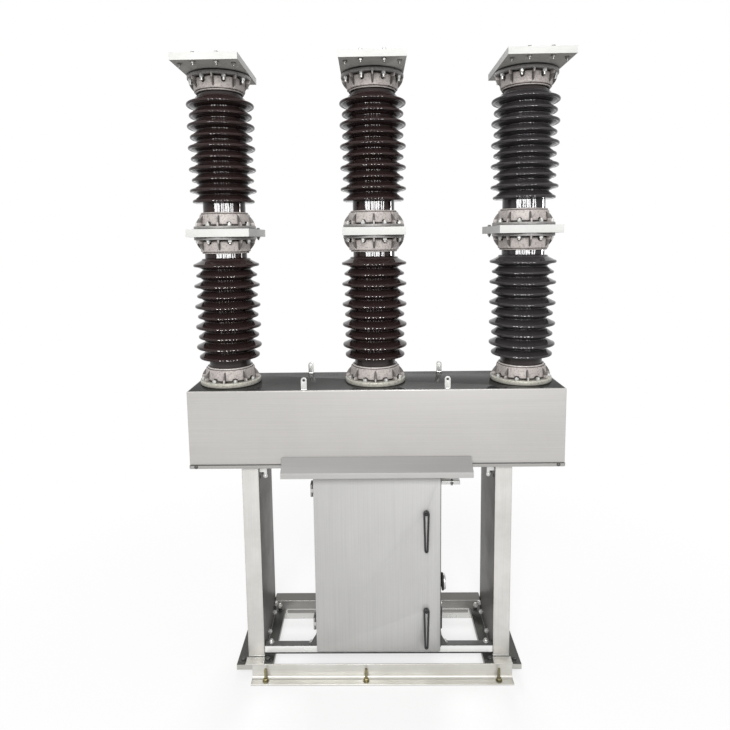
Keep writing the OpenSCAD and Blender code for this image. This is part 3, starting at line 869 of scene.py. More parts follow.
@dataclass
class Insulator:
    """Ribbed porcelain post between two castings."""

    node: str
    finish: AnyFinish
    foot: float
    big: float = 0.155
    small: float = 0.144
    core: float = 0.114
    neck: float = 0.098
    pitch: float = 0.049
    count: int = 10
    rim: float = 0.0072
    fall: float = 0.0192
    under: float = 0.0104
    shoulder: float = 0.24
    sides: int = 128

    def shed(self, z: float, radius: float, core: float, under: float) -> np.ndarray:
        """Section of one shed from below the rim, round it and back up to the core.

        The underside slopes up to a small drip groove, the rim is a blunt arc below a flatter
        face, and the upper side rises by a power curve towards the core, which it meets in a fillet.

        Args:
            z: Height of the rim's middle.
            radius: Radius of the rim.
            core: Radius of the body below the shed.
            under: Height of the underside's slope.

        Returns:
            (radius, z) pairs.
        """
        r, h = radius, self.rim
        inner = core + 0.004
        root = arc((inner, z - h - under - 0.004), 0.004, 180, 106, 4)
        t = np.linspace(0, 1, 7)[1:]
        low_face = np.column_stack([inner + 0.001 + t * (r - 0.017 - inner), z - h - under + t * (under - 0.0012)])
        groove = [(r - 0.0145, z - h + 0.0012), (r - 0.0125, z - h + 0.0012), (r - 0.0108, z - h - 0.0002)]
        toe = arc((r - 0.0062, z - h + 0.0060), 0.0062, -95, 0, 9)
        brow = arc((r - 0.0074, z + h - 0.0072), 0.0074, 10, 66, 8)
        t = np.linspace(0, 1, 8)[1:]
        upper = np.column_stack([r - 0.0048 - t * (r - 0.0048 - self.core - 0.004),
                                 z + h - 0.0006 + (self.fall - 0.0036) * t ** 1.08])
        top = arc((self.core + 0.006, z + h + self.fall + 0.0018), 0.006, 236, 185, 5)
        return np.concatenate([root, low_face, groove, toe, brow, upper, top])

    def flare(self, start: float, end: float) -> np.ndarray:
        """Shoulder between the neck and the body, along a half cosine.

        Args:
            start: Height at which it has the neck's radius.
            end: Height at which it has the body's radius.

        Returns:
            (radius, z) pairs.
        """
        t = np.linspace(0, 1, 7)
        return np.column_stack([self.neck + (self.core - self.neck) * (1 - np.cos(np.pi * t)) / 2,
                                start + (end - start) * t])

    def build(self) -> None:
        """Builds the post, with sheds that are large and small by turns, and a sleeve on each neck."""
        centre, base = middle(self.node), low(self.node)[2]
        place, tall = (centre[0], centre[1], base), high(self.node)[2] - base
        number = np.arange(self.count)
        heights = self.foot + self.pitch * number
        radii = np.where((self.count - 1 - number) % 2 == 0, self.big, self.small)
        last = heights[-1] + self.rim + self.fall + 0.002
        shoulder = last + (tall - last) * self.shoulder
        rows = [[(self.neck, 0.0)], self.shed(heights[0], radii[0], self.neck, 0.003)]
        rows += [self.shed(z, r, self.core, self.under) for z, r in zip(heights[1:], radii[1:])]
        rows += [self.flare(shoulder, last + 0.0005)[::-1], [(self.neck, tall)]]
        post = Maker.skin(f"post_{self.node}", turned(np.concatenate(rows), self.sides).moved(place), self.finish,
                          nodes=(self.node,), crease=50)
        Studio.sheds.append(post)
        Studio.glazed.append(post)
        inner, outer = self.neck - 0.003, self.neck + 0.0008
        for end, z0, z1 in (("low", 0.0, heights[0] - self.rim - 0.0058), ("high", shoulder, tall)):
            sleeve = turned([(inner, z0), (outer, z0), (outer, z1), (inner, z1)], self.sides, ring=True)
            bright = (end == "low") == ("upper" in self.node)
            piece = Maker.skin(f"neck_{end}_{self.node}", sleeve.moved(place),
                               self.finish if bright else Finish.GLAZE_NECK, crease=50)
            Studio.glazed.append(piece)
            if bright:
                Studio.necks.append(piece)


class Recess(Enum):
    """Recess round each bolt of a casting: half width, height, and its bolt's head and stud, in metres."""

    SHORT = (0.0125, 0.017, 0.010, 0.002)
    MIDDLE = (0.0105, 0.020, 0.010, 0.006)
    LONG = (0.0105, 0.031, 0.011, 0.013)


@dataclass
class Casting:
    """Ribbed casting on a flange or ring that grips one end of a post."""

    node: str
    flange_t: float
    recess: Recess = Recess.MIDDLE
    flange_r: float = 0.145
    wide: float = 0.124
    narrow: float = 0.117
    cup: float = 0.056
    lip: float = 0.008
    lip_r: float = 0.109
    ribs: int = 8
    rib_t: float = 0.005
    bulge: float = 0.0065
    undercut: float = 0.006
    toe_share: float = 0.34
    flipped: bool = False

    def foot(self) -> Skin:
        """Flange or ring, turned with rounded rims.

        Returns:
            The flange.
        """
        r, t = self.flange_r, self.flange_t
        e = 0.005 if self.recess is Recess.SHORT else 0.0022
        return turned(np.concatenate([arc((r - e, e), e, -90, 0, 6), arc((r - e, t - e), e, 0, 90, 6)]), 128)

    def drum(self) -> Skin:
        """Drum of eight panels with a U-shaped recess for each bolt.

        The radius is cone(z) panel(a) - depth inside(a, z). panel is an octagon with its corners
        at the ribs, softened to a share of its full flatness and grooved beside them, and inside is
        1 within a slot of half width w that ends in a half ellipse at the recess's height. A rolled
        edge ends the drum.

        Returns:
            The drum, closed at both ends.
        """
        steps, sides = 30, 448
        a = circle(sides)
        t0, t1 = self.flange_t + self.undercut, self.flange_t + self.cup
        s = np.linspace(0, 1, steps) ** 1.05
        z = t0 + s * (t1 - t0)
        cone = self.wide + 0.0012 + (self.narrow - self.wide) * s
        sector = 2 * np.pi / self.ribs
        local = np.mod(a, sector) - sector / 2
        panel = 1 + 0.42 * (np.cos(sector / 2) / np.cos(local) - 1)
        half, tall = self.recess.value[:2]
        up = np.clip((z - self.flange_t) / tall, 0, 1.2)
        width = half * np.sqrt(np.clip(1 - np.clip((up - 0.5) / 0.5, 0, 1) ** 2, 0, 1))
        inside = np.clip((width[:, None] - np.abs(local)[None] * self.wide) / 0.0022, 0, 1)
        inside = inside * inside * (3 - 2 * inside)
        roll = 0.0035 * (1 - np.sqrt(np.clip(1 - np.clip((s - 0.92) / 0.08, 0, 1) ** 2, 0, 1)))
        toe = 0.0015 * np.clip(1 - s / 0.05, 0, 1)
        beside = np.exp(-((sector / 2 - np.abs(local)) * self.wide / 0.0042) ** 2)
        radius = cone[:, None] * panel[None] - 0.013 * inside - 0.0035 * beside[None] - (roll + toe)[:, None]
        radius = np.concatenate([np.full((1, sides), 0.104), radius, np.full((1, sides), 0.1055)])
        heights = np.concatenate([[t0], z, [t1 - 0.001]])
        return Skin.loft(np.stack([radius * np.cos(a), radius * np.sin(a),
                                   np.repeat(heights[:, None], sides, 1)], -1))

    def neck(self) -> Skin:
        """Cylinder under the drum that leaves a dark gap above the flange."""
        r = self.wide - 0.014
        return turned([(r, self.flange_t - 0.001), (r, self.flange_t + 0.02)])

    def collar(self) -> Skin:
        """Rolled lip round the porcelain, above a groove.

        Returns:
            The lip.
        """
        top, r, e = self.flange_t + self.cup, self.lip_r - 0.004, self.lip / 2
        return turned(np.concatenate([[(r, top - 0.006), (r, top)],
                                      arc((self.lip_r - e + 0.001, top + e), e, -70, 90, 8),
                                      [(0.1005, top + self.lip - 0.0006), (0.0965, top + self.lip - 0.0030)]]), 128)

    def rib(self, tall: float = 1.0, more: float = 0.0) -> Skin:
        """One rib at angle 0: its back is a slope with a parabola added, its edges are rounded.

        The back's radius at a share s of the height is foot + (head - foot) s + 4 bulge s (1 - s),
        and its half thickness falls from 0.75 t to 0.4 t. Each row runs round the back.

        Args:
            tall: Share of the height that is built, from the foot up.
            more: Thickness added on each face.

        Returns:
            The rib.
        """
        s = np.linspace(0, tall, 15)
        foot, head = self.flange_r - self.rib_t / 2, self.narrow + 0.0005
        swell = more * (1 - s / tall)
        back = foot + (head - foot) * s + 4 * self.bulge * s * (1 - s) + swell
        z = self.flange_t - 0.0005 + s * (self.cup - 0.008)
        half = self.rib_t * (0.75 - 0.35 * s) + swell
        e = half * 0.6
        turn = np.radians(np.linspace(-90, 90, 7))
        around, push = np.sin(turn), np.cos(turn)
        y = (half - e)[:, None] * np.clip(around * 1.6, -1, 1)[None] + e[:, None] * around[None]
        x = (back - e)[:, None] + e[:, None] * push[None]
        root = np.full((len(s), 1), self.narrow - 0.009)
        x = np.concatenate([root, x, root], 1)
        y = np.concatenate([y[:, :1], y, y[:, -1:]], 1)
        return Skin.loft(np.stack([x, y, np.repeat(z[:, None], x.shape[1], 1)], -1))

    def bolts(self) -> Skin:
        """Bolt heads in the recesses, midway between the ribs.

        Returns:
            All of them.
        """
        r = self.wide + 0.0055
        one = Bolt(0.0165, self.recess.value[2], 0.0105, 0.002, self.recess.value[3]).skin()
        skin = Skin()
        for a in circle(self.ribs) + np.pi / self.ribs:
            skin.join(one.moved((r * math.cos(a), r * math.sin(a), self.flange_t - 0.0004), spin=a + 0.3))
        return skin

    def build(self) -> None:
        """Builds the casting, its foot and its bolts at the node's place."""
        base, centre = low(self.node)[2], middle(self.node)
        height = self.flange_t + self.cup + self.lip
        short = self.recess is Recess.SHORT
        body, ribs, foot = self.drum().join(self.neck()), Skin(), self.foot()
        rib, toe = self.rib(), self.rib(self.toe_share, 0.0007)
        for a in circle(self.ribs):
            ribs.join(rib.moved(spin=a))
            body.join(toe.moved(spin=a))
        if self.flipped:
            foot = foot.flipped(height)
        rise = high(self.node)[2] - base
        if rise > height + 0.001:
            spacer = turned([(self.wide, height - 0.001), (self.wide, rise)])
            foot.join(spacer)
        # The ribs take the darker rib finish: painted shade.
        for name, skin, finish in (("cast", body, Finish.CAST), ("ribs", ribs, Finish.CAST_RIB_SHADED),
                                   # The base castings' lip takes the lighter lip finish: painted highlight.
                                   ("lip", self.collar(), Finish.CAST_LIP_LIT if short else Finish.CAST),
                                   ("foot", foot, Finish.CAST_RING if short else Finish.CAST_FLANGE),
                                   ("bolts", self.bolts(), Finish.ZINC)):
            if self.flipped and name != "foot":
                skin = skin.flipped(height)
            Maker.skin(f"{name}_{self.node}", skin.moved((centre[0], centre[1], base)), finish,
                       nodes=(self.node,) if name == "cast" else (), crease=32 if name == "bolts" else 38)


@dataclass
class Terminal:
    """Flat silvered pad with clamp bolts through its long end."""

    node: str
    towards: float
    edge: float = 0.0022
    holes: tuple[Span, ...] = ((-0.117, 0.050), (0.117, 0.050), (-0.050, 0.022), (0.050, 0.022))

    def build(self) -> None:
        """Builds the pad, and its bolts with their studs down."""
        a, b, centre = low(self.node), high(self.node), middle(self.node)
        Maker.dressed(f"pad_{self.node}", self.node, Finish.TERMINAL, self.edge, 3)
        far = a[1] if self.towards < 0 else b[1]
        spots = [(centre[0] + x, far - self.towards * inset) for x, inset in self.holes]
        skin = scatter(Bolt(0.015, 0.008, 0.0105, 0.002, 0.007, 0.0045), [(x, y, a[2]) for x, y in spots], Axis.DOWN)
        skin.join(scatter(Bolt(0.015, 0.007, 0.0105, 0.002), [(x, y, b[2]) for x, y in spots]))
        # The clamp bolts take the darker member finish: painted shade.
        Maker.skin(f"clamp_bolts_{self.node}", skin, Finish.MEMBER_SHADED)


@dataclass
class Pole:
    """One phase: two posts, four castings and two terminals."""

    name: str
    glaze: AnyFinish
    seat_t: float = 0.024
    flange_t: float = 0.014

    def build(self) -> None:
        """Builds the pole from the beam up."""
        Casting(f"base_casting_{self.name}", self.seat_t, Recess.SHORT).build()
        Insulator(f"lower_insulator_{self.name}", self.glaze, 0.046).build()
        Casting(f"lower_fitting_{self.name}", self.flange_t, flipped=True).build()
        Terminal(f"mid_terminal_{self.name}", 1.0).build()
        Casting(f"upper_fitting_{self.name}", self.flange_t).build()
        Insulator(f"upper_insulator_{self.name}", self.glaze, 0.052).build()
        Casting(f"top_fitting_{self.name}", self.flange_t, Recess.LONG, flipped=True).build()
        Terminal(f"top_terminal_{self.name}", -1.0).build()


# -------------------------------------------------------------------- beam

@dataclass
class Beam:
    """Sheet-metal drive beam with its top sheet, bottom cover and lifting lugs."""

    edge: float = 0.004
    sheet: float = 0.0025
    hem: float = 0.016
    hem_inset: float = 0.002
    top_inset: float = 0.006
    screw_up: float = 0.009
    screw_inset: float = 0.03
    lug_t: float = 0.006
    lug_w: float = 0.027

    def build(self) -> None:
        """Builds the housing, cover, top sheet, hem, screws and lugs."""
        a, b, foot = low("beam_housing"), high("beam_housing"), low("beam_cover")[2]
        t, i, n = self.sheet, self.top_inset, self.hem_inset
        Maker.dressed("beam_shell", "beam_housing", Finish.BEAM, self.edge, 3)
        Maker.dressed("beam_bottom", "beam_cover", Finish.BEAM, 0.0012)
        # The top sheet's dark finish is painted reflection.
        top = soft_box((a[0] + i, a[1] + i, b[2] - 0.001), (b[0] - i, b[1] - i, b[2] + 0.0008), 0.0008)
        Maker.skin("beam_top_sheet", top, Finish.BEAM_TOP)
        hem = Skin()
        for y, out in ((a[1], -t), (b[1], t)):
            hem.join(soft_box((a[0] + n, y, foot), (b[0] - n, y + out, foot + self.hem), 0.0011))
        for x, out in ((a[0], -t), (b[0], t)):
            hem.join(soft_box((x, a[1] + n, foot), (x + out, b[1] - n, foot + self.hem), 0.0011))
        Maker.skin("beam_hem", hem, Finish.BEAM_HEM)
        joint = soft_box((a[0] + 0.003, a[1] - t - 0.0004, foot + self.hem - 0.0005),
                         (b[0] - 0.003, a[1] + 0.001, foot + self.hem + 0.0025), 0.0004)
        Maker.skin("beam_hem_joint", joint, Finish.DARK_STEEL)
        z, start, end = foot + self.screw_up, a[0] + self.screw_inset, b[0] - self.screw_inset
        ys = np.linspace(a[1] + 0.05, b[1] - 0.05, 3)
        screws = Skin()
        for axis, places in ((Axis.FRONT, [(x, a[1] - t, z) for x in (start, end)]),
                             (Axis.BACK, [(x, b[1] + t, z) for x in np.linspace(start, end, 7)]),
                             (Axis.RIGHT, [(b[0] + t, y, z) for y in ys]),
                             (Axis.LEFT, [(a[0] - t, y, z) for y in ys])):
            screws.join(scatter(Screw(0.0065, 0.004), places, axis))
        Maker.skin("beam_screws", screws, Finish.DARK_STEEL)
        self.lugs()

    def lugs(self) -> None:
        """Builds the four lifting lugs with a weld along each face."""
        Maker.dressed("lift_lugs", "lifting_lugs", Finish.ZINC, 0.0009)
        a, b = low("lifting_lugs"), high("lifting_lugs")
        z = a[2] + 0.001
        welds = Skin()
        for x in (a[0], b[0] - self.lug_w):
            for y in (a[1], a[1] + self.lug_t, b[1] - self.lug_t, b[1]):
                welds.join(bead((x - 0.001, y, z), (x + 0.028, y, z), 0.003))
        Maker.skin("lug_welds", welds, Finish.ZINC)


# -------------------------------------------------------------------- frame

@dataclass
class Leg:
    """Bent channel between the beam and the base, with welds and bolts."""

    node: str
    side: float
    plate: float = 0.012
    sheet: float = 0.005
    lip: float = 0.014
    weld_r: float = 0.003
    foot_bolts: Span = (0.36, 0.80)
    foot_bolt_up: float = 0.045
    plate_bolt_inset: float = 0.035
    bolt: ClassVar[Bolt] = Bolt(0.019, 0.011, 0.0135, stud=0.003)

    def __post_init__(self) -> None:
        """Takes the leg's box, its web's outer face, its tips, and the height between its plates."""
        self.a, self.b = low(self.node), high(self.node)
        self.web, self.tip = (self.a[0], self.b[0]) if self.side > 0 else (self.b[0], self.a[0])
        self.foot, self.head = self.a[2] + self.plate, self.b[2] - self.plate
        self.out = Axis.LEFT if self.side > 0 else Axis.RIGHT

    def build(self) -> None:
        """Builds the leg's web, flanges and plates, then its welds, bolts and cleat."""
        a, b, s, web, tip = self.a, self.b, self.side, self.web, self.tip
        sheet = soft_box((web, a[1] + 0.004, self.foot), (web + s * self.sheet, b[1] - 0.004, self.head), 0.001)
        # The web takes the dark web finish: painted shade.
        Maker.skin(f"web_{self.node}", sheet, Finish.WEB_SHADED, nodes=(self.node,))
        flanges = Skin()
        for y, out in ((a[1], 1), (b[1], -1)):
            flanges.join(soft_box((web + s * 0.0003, y, self.foot), (tip, y + out * self.sheet, self.head), 0.0022))
            flanges.join(soft_box((tip - s * 0.004, y, self.foot), (tip, y + out * self.lip, self.head), 0.0015))
        Maker.skin(f"flanges_{self.node}", flanges, Finish.LEG)
        plates = soft_box((web, a[1], a[2]), (tip, b[1], self.foot), 0.002)
        plates.join(soft_box((web, a[1], self.head), (tip, b[1], b[2]), 0.002))
        Maker.skin(f"plates_{self.node}", plates, Finish.ZINC)
        self.welds()
        self.bolts()
        self.cleat()

    def welds(self) -> None:
        """Beads where the flanges and the web meet the plates."""
        a, b, s, tip = self.a, self.b, self.side, self.tip
        inner = self.web + s * 0.006
        welds = Skin()
        for z in (self.foot, self.head):
            for y in (a[1] + 0.0055, b[1] - 0.0055):
                welds.join(bead((inner, y, z), (tip, y, z), self.weld_r))
            welds.join(bead((inner, a[1] + 0.006, z), (inner, b[1] - 0.006, z), self.weld_r))
            welds.join(bead((self.web + s * 0.002, a[1], z), (tip - s * 0.002, a[1], z), 0.0022))
        Maker.skin(f"welds_{self.node}", welds, Finish.LEG)

    def bolts(self) -> None:
        """Two bolts through the foot of the web, and four through each plate."""
        a, b, i = self.a, self.b, self.plate_bolt_inset
        places = [(self.web, a[1] + share * (b[1] - a[1]), a[2] + self.foot_bolt_up) for share in self.foot_bolts]
        bolts = scatter(self.bolt, places, self.out)
        xs = (self.web + self.side * 0.025, self.tip - self.side * 0.018)
        for z, axis in ((self.foot, Axis.UP), (self.head, Axis.DOWN)):
            bolts.join(scatter(self.bolt, [(x, y, z) for x in xs for y in (a[1] + i, b[1] - i)], axis))
        Maker.skin(f"bolts_{self.node}", bolts, Finish.ZINC)

    def cleat(self) -> None:
        """Small angle under the beam on the web's outer face, with its screws."""
        web, s, y, top = self.web, self.side, self.a[1] + 0.014, self.b[2] - 0.0005
        near, far, t = web + s * 0.001, web - s * 0.037, 0.005
        cleat = soft_box((near, y, top - 0.030), (far, y + t, top), 0.001)
        cleat.join(soft_box((near, y + 0.004, top - t), (far, y + 0.045, top), 0.001))
        cleat.join(soft_box((web - s * 0.024, y, top - 0.056), (far, y + t, top - 0.028), 0.001))
        cleat.join(scatter(Screw(0.0075, 0.005), [(web - s * 0.0305, y, top - 0.047)], Axis.FRONT))
        Maker.skin(f"cleat_{self.node}", cleat, Finish.ZINC)
        places = [(web, self.a[1] + inset, top - 0.062) for inset in (0.035, 0.09)]
        Maker.skin(f"cleat_screws_{self.node}", scatter(Screw(0.008, 0.004), places, self.out), Finish.DARK_STEEL)


@dataclass
class BaseFrame:
    """Angles, side rails and cross members under the legs."""

    anchors: tuple[float, ...] = (-0.540, -0.060, 0.570)
    angle_t: float = 0.007
    root_r: float = 0.012
    toe_r: float = 0.002
    anchor_inset: float = 0.023
    flat_bar_x: float = 0.50
    flat_bar_z: Span = (0.034, 0.050)
    rail_bolt_x: Span = (0.655, 0.537)
    member_bolts: tuple[Span, ...] = ((0.547, 0.036), (0.527, 0.024))
    front_bolt_x: float = 0.526

    def angle(self, node: str, front: float) -> Skin:
        """Base angle: an L with a filleted root, a groove beside it and rounded toes, carried along X.

        Args:
            node: The CAD node it follows.
            front: 1 where its foot points to -Y, and -1 where it points to +Y.

        Returns:
            The angle.
        """
        a, b = low(node), high(node)
        d, h, t, r, e = b[1] - a[1], b[2] - a[2], self.angle_t, self.root_r, self.toe_r
        root = d - t - r
        section = np.concatenate([
            [(0, 0.0005), (d - 0.0005, 0), (d, 0.0006), (d, h - e)], arc((d - e, h - e), e, 0, 90, 4),
            arc((d - t + e, h - e), e, 90, 180, 4), arc((root, t + r), r, 0, -90, 8),
            [(root - 0.0005, t - 0.002), (root - 0.0032, t - 0.002), (root - 0.0038, t - 0.0002),
             (0.0035, t - 0.0008)], arc((e, t - 0.0028), e, 90, 180, 4)])
        y = a[1] + section[:, 0] if front > 0 else b[1] - section[:, 0]
        z = a[2] + section[:, 1]
        rows = np.stack([np.column_stack([np.full(len(y), x), y, z]) for x in np.linspace(a[0], b[0], 3)])
        return Skin.loft(rows, inside_out=front < 0)

    def build(self) -> None:
        """Builds the base frame and its fasteners."""
        # The rear angle takes the lighter rear finish: painted light.
        for node, front, finish in (("base_angle_front", 1, Finish.BASE), ("base_angle_back", -1, Finish.REAR_LIT)):
            Maker.skin(f"section_{node}", self.angle(node, front), finish, nodes=(node,), crease=25)
        for node in ("side_rail_left", "side_rail_right"):
            Maker.dressed(f"section_{node}", node, Finish.RAIL, 0.003, 3)
        Maker.dressed("section_cross_front", "cross_member_front", Finish.MEMBER, 0.005, 4)
        Maker.dressed("section_cross_back", "cross_member_back", Finish.MEMBER_SHADED, 0.005, 4)
        self.strips()
        self.anchor_studs()
        self.bolts()

    def strips(self) -> None:
        """Light plates before the legs that paint the rail tops' reflection of the legs, flat bar on the rear angle,
        and a black strip along the front cross member's lower edge that paints the shade under it.
        """
        rail_front, rail_top, leg = low("side_rail_right")[1], high("side_rail_right")[2], low("leg_right")
        near, far = leg[0] - 0.004, high("leg_right")[0] + 0.006
        # Painted reflection: light plates on the rail tops before the legs stand in for the rails mirroring the
        # legs' bright fronts.
        reflection_plates = Skin()
        for s in (-1, 1):
            reflection_plates.join(soft_box((s * near, rail_front - 0.0008, rail_top - 0.003),
                                (s * far, leg[1] - 0.003, rail_top + 0.0025), 0.001))
        Maker.skin("rail_reflection_plates", reflection_plates, Finish.BASE)
        back = low("base_angle_back")[1]
        x, (z0, z1) = self.flat_bar_x, self.flat_bar_z
        flat = soft_box((-x, back - 0.0015, z0), (x, back + 0.0005, z1), 0.0007)
        Maker.skin("rear_flat_bar", flat, Finish.MEMBER_SHADED)
        # Painted shade: a black strip along the front cross member's lower edge stands in for the shadow gap under
        # it.
        a, b = low("cross_member_front"), high("cross_member_front")
        strip = soft_box((a[0] + 0.001, a[1] - 0.0018, a[2] + 0.0005),
                         (b[0] - 0.001, a[1] + 0.001, a[2] + 0.0065), 0.0008)
        Maker.skin("cross_shadow_strip", strip, Finish.RUBBER)

    def anchor_studs(self) -> None:
        """Anchor studs with their nuts on the angles' feet."""
        rows = (low("base_angle_front")[1] + self.anchor_inset, high("base_angle_back")[1] - self.anchor_inset)
        studs = scatter(Bolt(0.020, 0.012, 0.015, 0.003, 0.046, 0.0062),
                        [(x, y, self.angle_t) for x in self.anchors for y in rows])
        Maker.skin("anchor_studs", studs, Finish.ZINC_YELLOW)

    def bolts(self) -> None:
        """Bolts and washers on the side rails, and bolts on the cross members."""
        top, y = high("side_rail_left")[2], low("leg_left")[1] - 0.020
        spots = [(s * x, k * y, top) for s in (-1, 1) for x in self.rail_bolt_x for k in (-1, 1)]
        Maker.skin("rail_bolts", scatter(Bolt(0.018, 0.010, 0.012, 0.0035, 0.002), spots), Finish.DARK_STEEL)
        back, front, front_top = low("cross_member_back"), low("cross_member_front"), high("cross_member_front")[2]
        bolt, members = Bolt(0.018, 0.010, 0.013, stud=0.003), Skin()
        for k in (-1, 1):
            members.join(scatter(bolt, [(k * x, back[1], back[2] + z) for x, z in self.member_bolts], Axis.FRONT))
            members.join(scatter(bolt, [(k * self.front_bolt_x, front[1] + 0.028, front_top)]))
        Maker.skin("member_bolts", members, Finish.ZINC)
        washer = turned([(0.017, 0.0), (0.020, 0.0), (0.020, 0.0016), (0.0188, 0.0024), (0.006, 0.0024)], 32)
        Maker.skin("rail_washers", scatter(washer, spots), Finish.DARK_STEEL)


# ----------------------------------------------------------------- cabinet

@dataclass
class Cabinet:
    """Mechanism cabinet under the beam, with its hood and side fittings."""

    seal_inset: float = 0.012
    seal_r: float = 0.0035
    lever_pin_x: float = 0.061
    crank_screw_r: float = 0.032
    side_bars: tuple[tuple[float, float, float, float], ...] = (
        (0.013, 0.020, 0.214, 0.320), (0.009, 0.018, 0.172, 0.196))
    side_bolt_z: tuple[float, ...] = (0.146, 0.164, 0.205, 0.332)

    def build(self) -> None:
        """Builds the box, hood, brackets, hinges and the fittings on its right side."""
        for name, node, finish, edge, segments in (
                ("cabinet_shell", "cabinet", Finish.SHEET, 0.002, 3),
                ("hood_sheet", "cabinet_hood", Finish.HOOD, 0.0014, 2),
                ("hold_down_brackets", "cabinet_brackets", Finish.DARK_STEEL, 0.001, 2),
                ("hinge_fixed_halves", "hinge_leaves", Finish.MEMBER_SHADED, 0.0006, 2),
                ("lever_arm", "lever_bracket", Finish.ZINC, 0.002, 2),
                ("crank_plate", "crank_cover", Finish.DARK_STEEL, 0.0012, 2)):
            Maker.dressed(name, node, finish, edge, segments)
        self.seal()
        self.brackets()
        self.lever()
        self.crank()
        self.side_bar()

    def seal(self) -> None:
        """Rubber bead round the door opening: two upright runs, then two level ones."""
        a, b, i = low("cabinet"), high("cabinet"), self.seal_inset
        x0, x1, y, z0, z1 = a[0] + i, b[0] - i, a[1], a[2] + i, high("cabinet_door")[2] - i
        skin = Skin()
        for x in (x0, x1):
            skin.join(tube([(x, y, z0), (x, y, (z0 + z1) / 2), (x, y, z1)], self.seal_r))
        for z in (z0, z1):
            skin.join(tube([(x0, y, z), (0, y, z), (x1, y, z)], self.seal_r))
        Maker.skin("door_seal", skin, Finish.RUBBER)

    def brackets(self) -> None:
        """Bolts on the hold-down brackets."""
        a, b = low("cabinet_brackets"), high("cabinet_brackets")
        places = [(x, a[1] + 0.014, a[2] + 0.009) for x in (a[0] + 0.010, b[0] - 0.010)]
        Maker.skin("bracket_bolts", scatter(Bolt(0.016, 0.009, 0.012, 0.002, 0.004, 0.005), places), Finish.ZINC)

    def lever(self) -> None:
        """Pin of the lever, on its grip."""
        a, b = low("lever_bracket"), high("lever_bracket")
        x = a[0] + self.lever_pin_x
        pin = turned([(0.0052, 0.0), (0.0058, 0.001), (0.0058, 0.024), (0.002, 0.030)], 24)
        skin = pin.moved((x, a[1] + 0.006, b[2] - 0.022))
        skin.join(soft_box((x - 0.007, a[1] - 0.0015, a[2] + 0.004), (x + 0.007, a[1] + 0.004, b[2] - 0.006), 0.001))
        Maker.skin("lever_pin", skin, Finish.BLACK)

    def crank(self) -> None:
        """Gasket, rim and screws of the crank cover."""
        a, b, c = low("crank_cover"), high("crank_cover"), middle("crank_cover")
        rim = turned([(0.024, 0.0), (0.037, 0.0), (0.037, 0.012), (0.034, 0.016), (0.026, 0.016), (0.024, 0.013)],
                     48, ring=True)
        gasket = turned([(0.022, 0.0), (0.041, 0.0), (0.041, 0.006), (0.039, 0.008), (0.022, 0.008)], 48, ring=True)
        Maker.skin("crank_gasket", gasket.moved((b[0] - 0.003, c[1], c[2]), Axis.RIGHT), Finish.RUBBER)
        skin = rim.moved((b[0] - 0.002, c[1], c[2]), Axis.RIGHT)
        spots = [(a[0] + 0.008, c[1] + self.crank_screw_r * math.cos(t), c[2] + self.crank_screw_r * math.sin(t))
                 for t in np.radians([45, 135, 225, 315])]
        skin.join(scatter(Screw(0.0045, 0.003), spots, Axis.RIGHT))
        Maker.skin("crank_trim", skin, Finish.ZINC)

    def side_bar(self) -> None:
        """Black bars at the foot of the right side's front edge, with their bolts."""
        side, front = high("cabinet")[0], low("cabinet")[1]
        skin = Skin()
        for out, back, z0, z1 in self.side_bars:
            skin.join(soft_box((side - 0.0005, front + 0.004, z0), (side + out, front + back, z1), 0.002))
        Maker.skin("side_bar", skin, Finish.BLACK)
        bolts = scatter(Bolt(0.016, 0.009, 0.011, stud=0.003, stud_r=0.005),
                        [(side, front + 0.030, z) for z in self.side_bolt_z], Axis.RIGHT)
        Maker.skin("side_bolts", bolts, Finish.ZINC)


@dataclass
class Door:
    """Hinged door with its two handles."""

    edge: float = 0.0025
    shade_strip_inset: float = 0.004

    def build(self) -> None:
        """Builds the door pan, the black strips along its bottom and its right edge that paint the shade there, and
        the handles.
        """
        Maker.dressed("door_pan", "cabinet_door", Finish.SHEET, self.edge, 3, Body.DOOR)
        a, b, i = low("cabinet_door"), high("cabinet_door"), self.shade_strip_inset
        # Painted shade: black strips along the door's bottom and right edge stand in for the shade there.
        strip = soft_box((low("cabinet")[0] + i, a[1] + 0.004, a[2] - 0.005),
                         (b[0] - i, a[1] + 0.009, a[2] + 0.002), 0.0015)
        strip.join(soft_box((b[0] - 0.002, a[1] + 0.013, a[2] + 0.012),
                            (b[0] + 0.0046, a[1] + 0.019, b[2] - i), 0.0009))
        Maker.skin("door_shadow_strips", strip, Finish.RUBBER, Body.DOOR)
        for body in (Body.UPPER_HANDLE, Body.LOWER_HANDLE):
            Handle(body).build()


